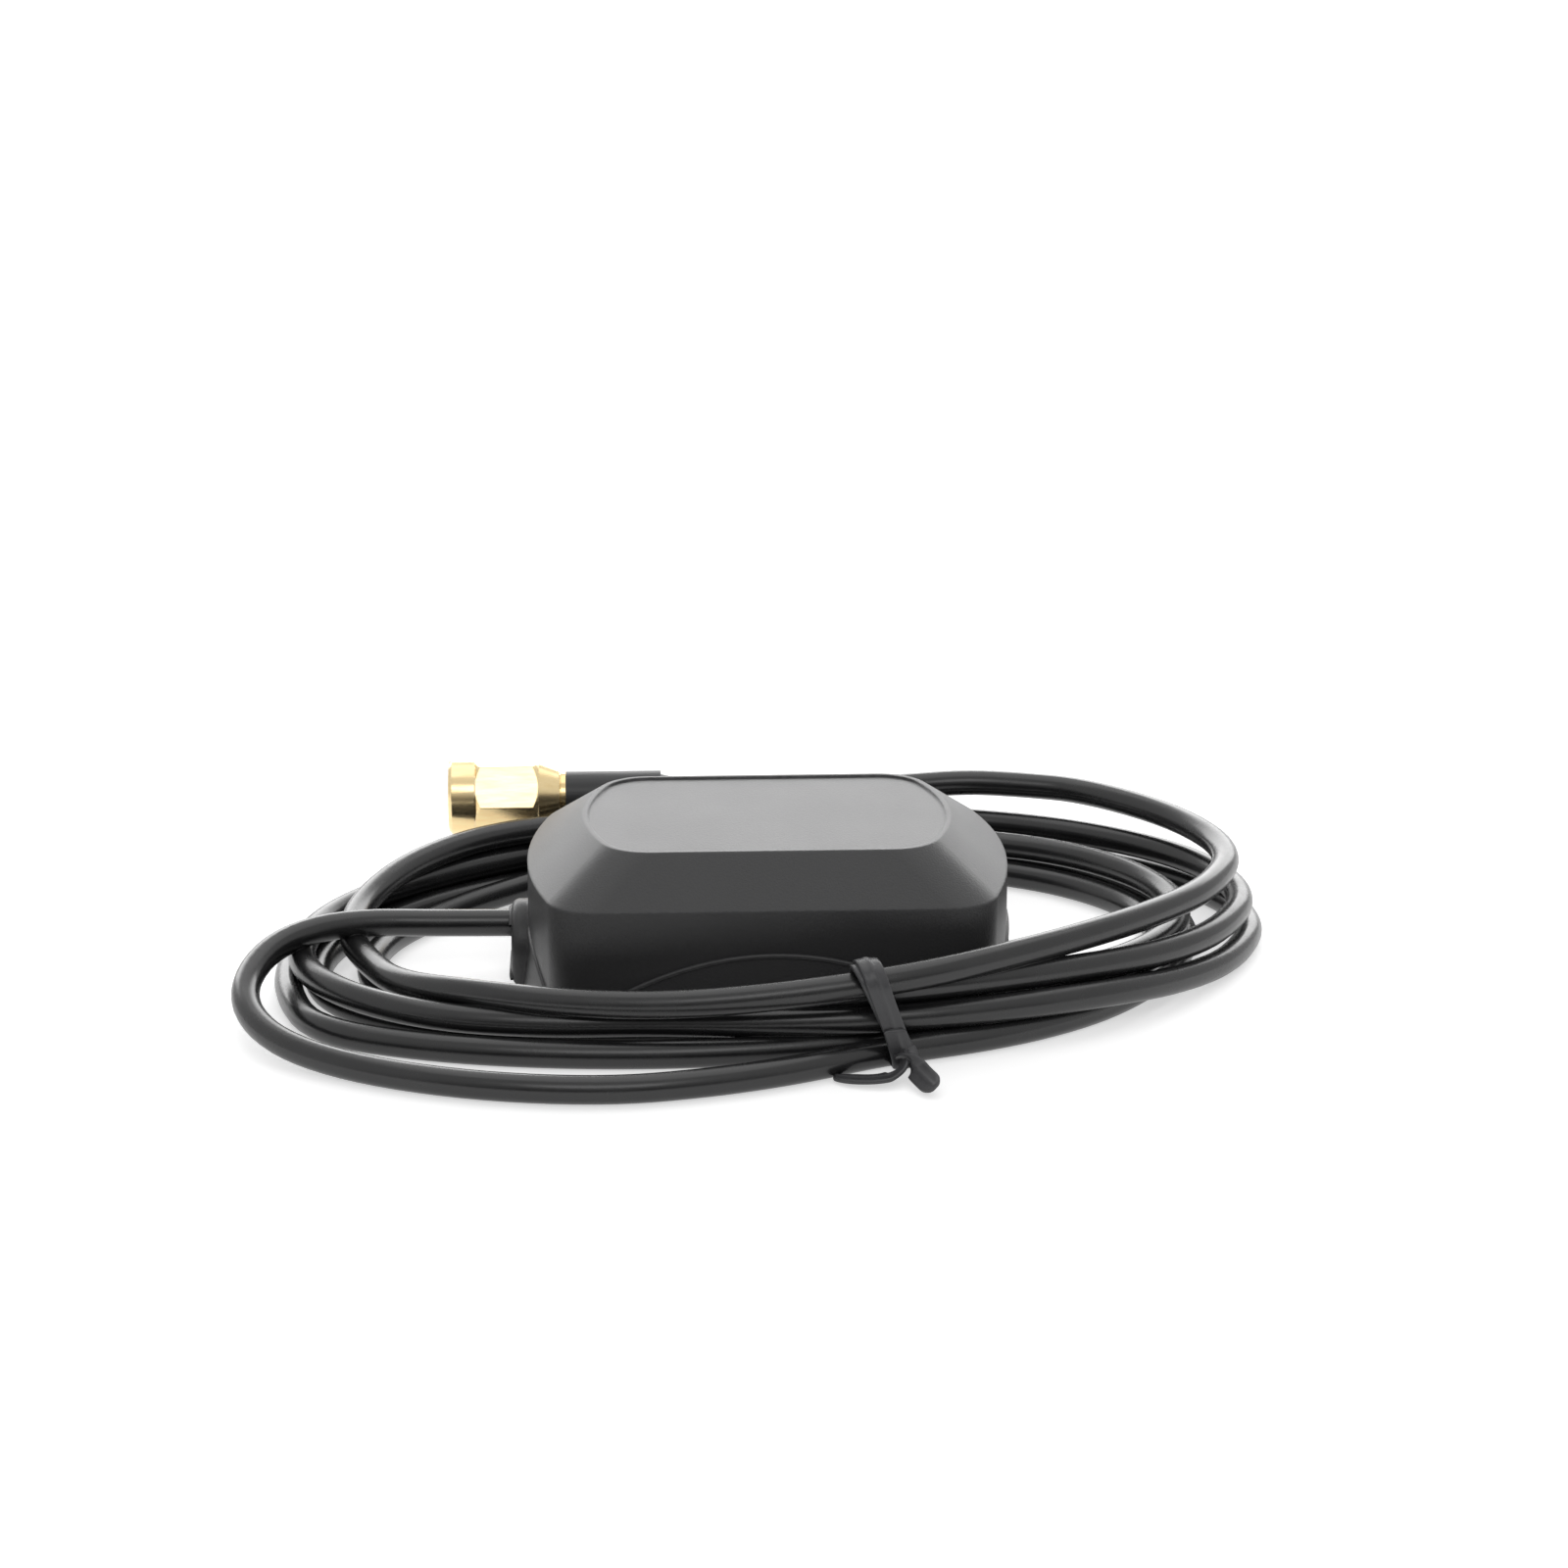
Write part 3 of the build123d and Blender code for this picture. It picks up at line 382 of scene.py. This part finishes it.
cable_diameter = 0.0028
cable_colour = (0.0105, 0.0105, 0.0110)
coil_half_length = 0.0440
coil_half_width = 0.0310
coil_centre_x = -0.0007
coil_tilt = radians(7)
coil_passes = 6
points_per_turn = 22
mm_per_metre = 1000
lead_points = [
    (-0.0184, 0.0, 0.00555),
    (-0.0315, 0.0, 0.00560),
    (-0.0434, -0.0022, 0.0067),
    (-0.0500, -0.0070, 0.0058),
    (-0.0523, -0.0150, 0.0037),
    (-0.0491, -0.0228, 0.0021),
    (-0.0415, -0.0293, 0.00145),
    (-0.0295, -0.0349, 0.00145),
    (-0.0165, -0.0370, 0.00145),
    (-0.0065, -0.0351, 0.00145),
    (0.0022, -0.0319, 0.00145),
]
tail_points = [
    (0.0295, 0.0353, 0.0088),
    (0.0235, 0.0367, 0.0088),
    (0.0165, 0.0359, 0.0086),
    (0.00795, 0.0346, 0.0085),
    (-0.01535, 0.0346, 0.0085),
]
# Angle in degrees, then how far outwards and how high each of the six passes lies there, in mm
coil_lanes = [
    (280, (-2.0, 1.4), (-4.6, 6.6), (-3.6, 4.0), (-4.9, 1.4), (-6.6, 3.6), (-2.2, 8.3)),
    (310, (-1.4, 1.4), (-2.1, 6.2), (0.0, 4.0), (-4.4, 1.4), (-5.6, 4.2), (-3.3, 8.8)),
    (340, (-1.2, 1.4), (2.2, 4.8), (3.0, 1.7), (-4.0, 1.4), (-2.4, 3.9), (-0.6, 8.4)),
    (355, (0.6, 1.4), (5.8, 4.7), (7.2, 1.4), (-2.4, 1.4), (-0.4, 3.9), (3.6, 8.2)),
    (370, (2.2, 1.4), (9.3, 4.5), (10.2, 1.4), (-0.8, 1.4), (1.4, 4.0), (8.2, 8.3)),
    (400, (6.2, 1.4), (8.8, 4.6), (9.4, 1.4), (1.0, 1.4), (2.9, 4.1), (11.3, 8.6)),
    (430, (3.7, 1.9), (6.6, 4.7), (7.0, 1.4), (0.6, 1.4), (1.6, 4.2)),
    (445, (2.2, 4.0), (5.2, 4.3), (6.0, 1.4), (0.6, 1.4), (-0.4, 6.6)),
    (460, (-0.6, 4.0), (2.8, 4.1), (4.6, 1.4), (0.9, 1.4), (0.6, 6.8)),
    (475, (-1.4, 2.4), (2.6, 4.0), (4.2, 1.4), (1.1, 1.4), (3.2, 6.7)),
    (490, (-1.6, 1.4), (2.3, 3.9), (4.0, 1.4), (1.2, 1.4), (2.6, 6.8)),
    (520, (-3.4, 1.4), (3.0, 3.9), (4.4, 1.4), (1.4, 1.4), (-0.6, 4.8)),
    (550, (-4.7, 1.4), (2.6, 3.8), (4.4, 1.4), (1.0, 1.4), (-4.2, 4.1)),
    (565, (-5.6, 1.5), (0.8, 3.8), (5.6, 1.4), (-1.2, 1.4), (-3.2, 4.6)),
    (580, (-7.0, 2.0), (-1.2, 3.6), (1.0, 1.4), (-4.0, 1.4), (-3.4, 5.7)),
    (610, (-8.8, 4.0), (-6.2, 3.6), (-3.2, 1.4), (-7.2, 1.4), (-3.6, 6.2)),
]


def coil_point(angle, outwards, height):
    """A point of the coil in metres, from an angle in degrees and two distances in mm."""
    turn = radians(angle)
    x, y = coil_half_length * cos(turn), coil_half_width * sin(turn)
    out_x, out_y = cos(turn) / coil_half_length, sin(turn) / coil_half_width
    size = hypot(out_x, out_y)
    x += outwards / mm_per_metre * out_x / size
    y += outwards / mm_per_metre * out_y / size
    return (
        coil_centre_x + x * cos(coil_tilt) - y * sin(coil_tilt),
        x * sin(coil_tilt) + y * cos(coil_tilt),
        height / mm_per_metre,
    )


def coil_turns():
    """The turns' points: the lanes of each pass, joined smoothly and stepped evenly round."""
    lowest = cable_diameter / 2 * mm_per_metre
    lanes = []
    for turn in range(coil_passes):
        for row in coil_lanes:
            if turn + 1 < len(row):
                lanes.append((row[0] + 360 * turn,) + row[1 + turn])
    first, last = lanes[0][0], lanes[-1][0]
    steps = round((last - first) * points_per_turn / 360)
    points = []
    lane = 0
    for step in range(steps + 1):
        angle = first + (last - first) * step / steps
        while lane < len(lanes) - 2 and angle > lanes[lane + 1][0]:
            lane += 1
        before = lanes[max(lane - 1, 0)]
        start, end = lanes[lane], lanes[lane + 1]
        after = lanes[min(lane + 2, len(lanes) - 1)]
        span = end[0] - start[0]
        share = (angle - start[0]) / span
        place = []
        for k in (1, 2):
            leave = (end[k] - before[k]) / (end[0] - before[0]) * span
            arrive = (after[k] - start[k]) / (after[0] - start[0]) * span
            place.append(
                (2 * share**3 - 3 * share**2 + 1) * start[k]
                + (share**3 - 2 * share**2 + share) * leave
                + (3 * share**2 - 2 * share**3) * end[k]
                + (share**3 - share**2) * arrive
            )
        points.append(coil_point(angle, place[0], max(place[1], lowest)))
    return points


cable_points = lead_points + coil_turns() + tail_points
cable_curve = bpy.data.curves.new("coaxial_cable", "CURVE")
cable_curve.dimensions = "3D"
cable_curve.bevel_depth = cable_diameter / 2
cable_curve.bevel_resolution = 7
cable_curve.resolution_u = 6
cable_curve.use_fill_caps = True
cable_line = cable_curve.splines.new("NURBS")
cable_line.points.add(len(cable_points) - 1)
for point, place in zip(cable_line.points, cable_points):
    point.co = (*place, 1.0)
cable_line.order_u = 3
cable_line.use_endpoint_u = True
cable = bpy.data.objects.new("coaxial_cable", cable_curve)
bpy.context.scene.collection.objects.link(cable)
cable_jacket = grained_finish(
    "cable_jacket", cable_colour, (0.015, 0.015, 0.0155), (0.02, 0.02, 0.02),
    (0.22, 0.30), (3600.0, 0.05, 260.0, 0.0001), {"Specular IOR Level": 0.6},
)
cable_curve.materials.append(cable_jacket)
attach(cable, "antenna")
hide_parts("cable_lead", "cable_coil", "cable_tail")


# Twist tie
# A flat strip of grey-black plastic with a wire in it, wound twice round the turns in front and
# twisted. Its two ends lie on the table, one over the other.

tie_angle = 280
tie_width = 0.0023
tie_thickness = 0.0005
tie_lowest = 0.3  # above the table, in mm
tie_outer_pull = 0.1
tie_hull_corners = 24
tie_wraps = 2.15
tie_wrap_steps = 150
tie_wrap_lift = 0.9
tie_lean = 0.37
tie_lean_height = 0.005
tie_lean_first = 1.25
tie_lean_loss = 0.5
tie_end_steps = 30
tie_twist_share = 0.5
tie_tip_share = 0.82
tie_tip_narrowing = 0.93
tie_colour = (0.040, 0.040, 0.043)
upwards = Vector((0, 0, 1))
# The strip's section, in widths and thicknesses: thin round edges and the rib over the wire
tie_section = [
    (-0.5, -0.3), (-0.46, -0.5), (0.46, -0.5), (0.5, -0.3),
    (0.5, 0.3), (0.46, 0.5), (0.12, 0.5), (0.08, 0.8), (-0.08, 0.8), (-0.12, 0.5),
    (-0.46, 0.5), (-0.5, 0.3),
]
# Each end's start, bend and tip, its half turns of twist and its tilt
tie_ends = [
    (
        Vector((0.0119, -0.0296, 0.0022)), Vector((0.0126, -0.0330, 0.0014)),
        Vector((0.0143, -0.0364, 0.0011)), 1.0, radians(38),
    ),
    (
        Vector((0.0118, -0.0299, 0.0016)), Vector((0.0118, -0.0350, 0.0007)),
        Vector((0.0050, -0.0315, 0.0004)), 0.5, radians(4),
    ),
]


def tie_loop():
    """The line that a strip takes round the turns where the tie is, as (outwards, height) in mm."""
    clear = (cable_diameter / 2 + tie_thickness / 2) * mm_per_metre
    ring = []
    for outwards, height in coil_lanes[0][1:]:
        for step in range(tie_hull_corners):
            turn = 2 * pi * step / tie_hull_corners
            ring.append((
                outwards + clear * cos(turn),
                max(height + clear * sin(turn), tie_lowest),
            ))
    ring = sorted(set(ring))
    hull = []
    for points in (ring, ring[::-1]):
        side = []
        for point in points:
            while len(side) > 1:
                (ax, ay), (bx, by) = side[-2], side[-1]
                if (bx - ax) * (point[1] - ay) - (by - ay) * (point[0] - ax) > 0:
                    break
                side.pop()
            side.append(point)
        hull += side[:-1]
    return hull


def tie_frames():
    """Frames of the tie's wraps, (place, across, outwards): each lies on the last, beside it."""
    hull = tie_loop()
    closed = hull + hull[:1]
    lengths = [0.0]
    for before, after in zip(closed, closed[1:]):
        lengths.append(lengths[-1] + hypot(after[0] - before[0], after[1] - before[1]))
    total = lengths[-1]
    corner = Vector(coil_point(tie_angle, 0, 0))
    # A second point, 10 mm further out, gives the direction
    outward = (Vector(coil_point(tie_angle, 10, 0)) - corner).normalized()
    along = outward.cross(upwards)
    # The wraps start low down on the outer side
    start = min(
        range(len(hull)), key=lambda k: abs(hull[k][1] - tie_lowest) - hull[k][0] * tie_outer_pull
    )
    frames = []
    for step in range(tie_wrap_steps + 1):
        wound = step / tie_wrap_steps
        travel = (lengths[start] + tie_wraps * total * step / tie_wrap_steps) % total
        k = max(i for i in range(len(hull)) if lengths[i] <= travel)
        before, after = closed[k], closed[k + 1]
        share = (travel - lengths[k]) / (lengths[k + 1] - lengths[k])
        x = (before[0] + (after[0] - before[0]) * share) / mm_per_metre
        z = (before[1] + (after[1] - before[1]) * share) / mm_per_metre
        run = Vector((after[0] - before[0], after[1] - before[1])).normalized()
        out = outward * run.y - upwards * run.x
        lift = tie_thickness * tie_wrap_lift * wound * tie_wraps
        lean = (z - tie_lean_height) * tie_lean * (tie_lean_first - tie_lean_loss * wound)
        place = corner + outward * x + upwards * z + out * lift + along * lean
        place.z = max(place.z, tie_thickness)
        frames.append((place, along, out))
    return frames


def tie_end_frames(start, bend, tip, turns, tilt):
    """Frames of one end of the tie: twisted where it leaves the wraps, rounded off at its tip."""
    frames = []
    for step in range(tie_end_steps + 1):
        share = step / tie_end_steps
        place = start * (1 - share) ** 2 + bend * 2 * share * (1 - share) + tip * share**2
        run = (bend - start) * (1 - share) + (tip - bend) * share
        side = Vector((-run.y, run.x, 0)).normalized()
        angle = tilt + pi * turns * (1 - min(share / tie_twist_share, 1.0))
        across = side * cos(angle) + upwards * sin(angle)
        outwards = upwards * cos(angle) - side * sin(angle)
        place.z = max(place.z, tie_thickness / 2 + abs(sin(angle)) * tie_width / 2)
        tip_share = max(share - tie_tip_share, 0.0) / (1 - tie_tip_share)
        taper = (1 - tip_share**2 * tie_tip_narrowing) ** 0.5
        frames.append((place, across * taper, outwards))
    return frames


tie_build = bmesh.new()
for frames in [tie_frames()] + [tie_end_frames(*end) for end in tie_ends]:
    rings = [
        [
            tie_build.verts.new(place + across * (a * tie_width) + outwards * (b * tie_thickness))
            for a, b in tie_section
        ]
        for place, across, outwards in frames
    ]
    strip = []
    for before, after in zip(rings, rings[1:]):
        for k in range(len(tie_section)):
            strip.append(tie_build.faces.new((before[k], before[k - 1], after[k - 1], after[k])))
    strip.append(tie_build.faces.new(rings[0]))
    strip.append(tie_build.faces.new(rings[-1][::-1]))
    bmesh.ops.recalc_face_normals(tie_build, faces=strip)
for face in tie_build.faces:
    face.smooth = True
tie_mesh = bpy.data.meshes.new("twist_tie_strip")
tie_build.to_mesh(tie_mesh)
tie_build.free()
tie_mesh.materials.append(grained_finish(
    "tie_plastic", tie_colour, (0.055, 0.055, 0.058), (0.10, 0.10, 0.10),
    (0.34, 0.46), (3000.0, 0.08, 500.0, 0.0001), {"Specular IOR Level": 0.55},
))
tie = bpy.data.objects.new("twist_tie_strip", tie_mesh)
bpy.context.scene.collection.objects.link(tie)
rounding = tie.modifiers.new("soft edges", "SUBSURF")
rounding.levels = 1
rounding.render_levels = 1
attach(tie, "antenna")
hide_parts("twist_tie")


# Coupling nut
# Turned brass with thin bright gilt plating: a round front, a hexagon for the spanner and a
# tapered rear. It is threaded inside and turns freely on the plug.

nut_colour = (0.93, 0.74, 0.42)
nut_gold = grained_finish(
    "nut_gold", nut_colour, (0.88, 0.68, 0.36), (0.98, 0.86, 0.60),
    (0.16, 0.26), (2600.0, 0.03, 300.0, 0.00018), {"Metallic": 1.0}, stretch=(1.0, 6.0, 6.0),
)
dress("coupling_nut", nut_gold)

# The thread is a low ridge that winds round the plug's axis and fades out at both ends
thread_turns = 9
thread_pitch = 0.000706
thread_outer = 0.00286
thread_inner = 0.00262
thread_root = 0.00030
thread_crest = 0.00005
thread_start = -0.0329
thread_turn_steps = 32
thread_fade_steps = 20
plug_y = 0.0346
plug_z = 0.0085
thread_steps = thread_turns * thread_turn_steps
thread_build = bmesh.new()
thread_rings = []
for step in range(thread_steps + 1):
    turn = 2 * pi * step / thread_turn_steps
    x = thread_start + thread_pitch * step / thread_turn_steps
    fade = min(step / thread_fade_steps, (thread_steps - step) / thread_fade_steps, 1.0)
    crest = thread_outer + (thread_inner - thread_outer) * fade
    profile = (
        (x - thread_root, thread_outer), (x - thread_crest, crest),
        (x + thread_crest, crest), (x + thread_root, thread_outer),
    )
    thread_rings.append([
        thread_build.verts.new((px, plug_y + r * cos(turn), plug_z + r * sin(turn)))
        for px, r in profile
    ])
for before, after in zip(thread_rings, thread_rings[1:]):
    for k in range(len(before) - 1):
        thread_build.faces.new((before[k], before[k + 1], after[k + 1], after[k]))
bmesh.ops.recalc_face_normals(thread_build, faces=thread_build.faces)
thread_mesh = bpy.data.meshes.new("nut_thread")
thread_build.to_mesh(thread_mesh)
thread_build.free()
thread_mesh.materials.append(nut_gold)
thread = bpy.data.objects.new("nut_thread", thread_mesh)
bpy.context.scene.collection.objects.link(thread)
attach(thread, "coupling_nut")


# Plug body, centre pin and ferrule
# Gilt brass turned to closer limits than the nut, so it is a little smoother. A split spring wire
# ring holds the nut, and the ferrule is crimped over the braid.

gold_plate = grained_finish(
    "gold_plate", (0.92, 0.70, 0.36), (0.84, 0.62, 0.30), (0.98, 0.84, 0.56),
    (0.14, 0.24), (5200.0, 0.03, 700.0, 0.00008), {"Metallic": 1.0},
)
for node in ("plug_body", "centre_pin", "crimp_ferrule"):
    dress(node, gold_plate)
dress("retaining_ring", grained_finish(
    "spring_wire", (0.52, 0.50, 0.46), (0.42, 0.40, 0.37), (0.62, 0.60, 0.56),
    (0.22, 0.36), (5200.0, 0.04, 900.0, 0.00005), {"Metallic": 1.0},
))


# Plug's soft and white parts
# A red-brown silicone sealing ring behind the contact face, the white insulator round the pin and
# the stripped white core of the cable.

dress("plug_gasket", grained_finish(
    "silicone_seal", (0.36, 0.060, 0.035), (0.42, 0.080, 0.045), (0.48, 0.12, 0.08),
    (0.40, 0.55), (4200.0, 0.06, 900.0, 0.0001), {"Specular IOR Level": 0.5},
))
dress("plug_insulator", grained_finish(
    "plug_insulator", (0.80, 0.79, 0.75), (0.86, 0.85, 0.82), (0.88, 0.87, 0.85),
    (0.34, 0.46), (5200.0, 0.05, 700.0, 0.0001), {"Specular IOR Level": 0.45},
))
white_dielectric = grained_finish(
    "white_dielectric", (0.78, 0.77, 0.74), (0.84, 0.83, 0.80), (0.86, 0.85, 0.82),
    (0.38, 0.50), (4200.0, 0.05, 800.0, 0.00006), {"Specular IOR Level": 0.45},
)
dress("cable_dielectric", white_dielectric)
dress("plug_cable_core", white_dielectric)
dress("cable_braid", grained_finish(
    "tinned_braid", (0.60, 0.60, 0.59), (0.36, 0.36, 0.35), (0.66, 0.66, 0.65),
    (0.25, 0.45), (5200.0, 0.80, 3800.0, 0.00005), {"Metallic": 1.0}, stretch=(0.5, 1.0, 1.0),
))
dress("cable_conductor", grained_finish(
    "copper_wire", (0.85, 0.42, 0.24), (0.72, 0.34, 0.18), (0.92, 0.55, 0.38),
    (0.20, 0.34), (5200.0, 0.05, 900.0, 0.00004), {"Metallic": 1.0},
))


# Heat-shrink sleeves
# Two black tubes shrunk over the ferrule: a long one on to the cable and a short second one next
# to the plug. Shrinking leaves them satin, with faint lines along them.

heat_shrink = grained_finish(
    "heat_shrink", (0.026, 0.026, 0.027), (0.036, 0.036, 0.038), (0.07, 0.07, 0.07),
    (0.40, 0.52), (2600.0, 0.22, 420.0, 0.00012), {"Specular IOR Level": 0.5},
    stretch=(0.12, 1.0, 1.0),
)
dress("heat_shrink_long", heat_shrink)
dress("heat_shrink_short", heat_shrink)


# Table
# A seamless white photographer's table. It keeps the soft shadows under the turns and the puck,
# and from below it is seen through, so that the puck's underside shows.

table_drop = -0.00002  # just under the pad, so that the two faces don't flicker
table_squares = 8
table_half_width = 3.0
table_glow = 0.56
table_mesh = bpy.data.meshes.new("white_table")
table_build = bmesh.new()
bmesh.ops.create_grid(
    table_build, x_segments=table_squares, y_segments=table_squares, size=table_half_width
)
table_build.to_mesh(table_mesh)
table_build.free()
table = bpy.data.objects.new("white_table", table_mesh)
table.location.z = table_drop
bpy.context.scene.collection.objects.link(table)
table_material = bpy.data.materials.new("white_table")
table_material.use_nodes = True
table_tree = table_material.node_tree
table_rays = add_node(table_tree, "ShaderNodeLightPath")
table_seen = add_node(table_tree, "ShaderNodeMath", {
    0: table_rays.outputs["Is Camera Ray"], 1: table_rays.outputs["Is Glossy Ray"],
}, operation="MAXIMUM")
table_lit = add_node(table_tree, "ShaderNodeMath", {
    0: table_seen.outputs["Value"], 1: table_glow,
}, operation="MULTIPLY")
table_surface = table_tree.nodes["Principled BSDF"]
set_inputs(table_surface, {
    "Base Color": (0.80, 0.80, 0.80, 1.0),
    "Roughness": 0.75,
    "Specular IOR Level": 0.2,
    "Emission Color": (1.0, 1.0, 1.0, 1.0),
    "Emission Strength": table_lit.outputs["Value"],
})
table_side = add_node(table_tree, "ShaderNodeNewGeometry")
table_under = add_node(table_tree, "ShaderNodeBsdfTransparent")
table_mix = add_node(table_tree, "ShaderNodeMixShader", {
    "Fac": table_side.outputs["Backfacing"],
    1: table_surface.outputs["BSDF"], 2: table_under.outputs["BSDF"],
})
set_inputs(table_tree.nodes["Material Output"], {"Surface": table_mix.outputs["Shader"]})
table_mesh.materials.append(table_material)


# Light
# A white room, dimmer low down on the camera's side, with a broad softbox overhead, one behind and
# a small one above the camera for the bright facets of the nut.

room_brightness = 0.5
room_front_reach = (-0.92, -0.45)
room_low_reach = (0.10, 0.42)
room_dimming = (0.90, 0.35)
room = bpy.data.worlds.new("white_room")
bpy.context.scene.world = room
room.use_nodes = True
room_tree = room.node_tree
room_tree.nodes.clear()
room_rays = add_node(room_tree, "ShaderNodeLightPath")
room_direct = add_node(room_tree, "ShaderNodeMath", {
    0: room_rays.outputs["Is Camera Ray"], 1: room_rays.outputs["Is Transmission Ray"],
}, operation="MAXIMUM")
room_mirror = add_node(room_tree, "ShaderNodeMath", {
    0: room_direct.outputs["Value"], 1: room_rays.outputs["Is Glossy Ray"],
}, operation="MAXIMUM")
room_place = add_node(room_tree, "ShaderNodeTexCoord")
room_axes = add_node(room_tree, "ShaderNodeSeparateXYZ", {
    "Vector": room_place.outputs["Generated"],
})
room_front = add_node(room_tree, "ShaderNodeMapRange", {
    "Value": room_axes.outputs["Y"],
    "From Min": room_front_reach[0], "From Max": room_front_reach[1],
    "To Min": 1.0, "To Max": 0.0,
})
room_low = add_node(room_tree, "ShaderNodeMapRange", {
    "Value": room_axes.outputs["Z"],
    "From Min": room_low_reach[0], "From Max": room_low_reach[1],
    "To Min": room_dimming[0], "To Max": room_dimming[1],
})
room_dim = add_node(room_tree, "ShaderNodeMath", {
    0: room_front.outputs["Result"], 1: room_low.outputs["Result"],
}, operation="MULTIPLY")
room_left = add_node(room_tree, "ShaderNodeMath", {
    0: 1.0, 1: room_dim.outputs["Value"],
}, operation="SUBTRACT")
room_shade = add_node(room_tree, "ShaderNodeMath", {
    0: room_left.outputs["Value"], 1: room_direct.outputs["Value"],
}, operation="MAXIMUM")
room_light = add_node(room_tree, "ShaderNodeBackground", {"Strength": room_brightness})
room_seen = add_node(room_tree, "ShaderNodeBackground", {
    "Strength": room_shade.outputs["Value"],
})
room_mix = add_node(room_tree, "ShaderNodeMixShader", {
    "Fac": room_mirror.outputs["Value"],
    1: room_light.outputs["Background"], 2: room_seen.outputs["Background"],
})
add_node(room_tree, "ShaderNodeOutputWorld", {"Surface": room_mix.outputs["Shader"]})

lamp_aim = Vector((0.0, 0.0, 0.0))


def softbox(name, place, size, power):
    """A rectangular soft lamp, turned to the puck, that the camera doesn't see."""
    lamp_data = bpy.data.lights.new(name, "AREA")
    lamp_data.shape = "RECTANGLE"
    lamp_data.size, lamp_data.size_y = size
    lamp_data.energy = power
    lamp = bpy.data.objects.new(name, lamp_data)
    lamp.location = place
    lamp.rotation_euler = (lamp_aim - Vector(place)).to_track_quat("-Z", "Y").to_euler()
    lamp.visible_camera = False
    bpy.context.scene.collection.objects.link(lamp)


softbox("front_softbox", (0.0, -0.78, 0.70), (0.70, 0.35), 1.4)
softbox("overhead_softbox", (0.05, 0.25, 0.90), (1.0, 0.9), 2.2)
softbox("rear_softbox", (0.0, 1.30, 0.50), (2.0, 0.7), 14.0)

bpy.context.scene.view_settings.view_transform = "Standard"
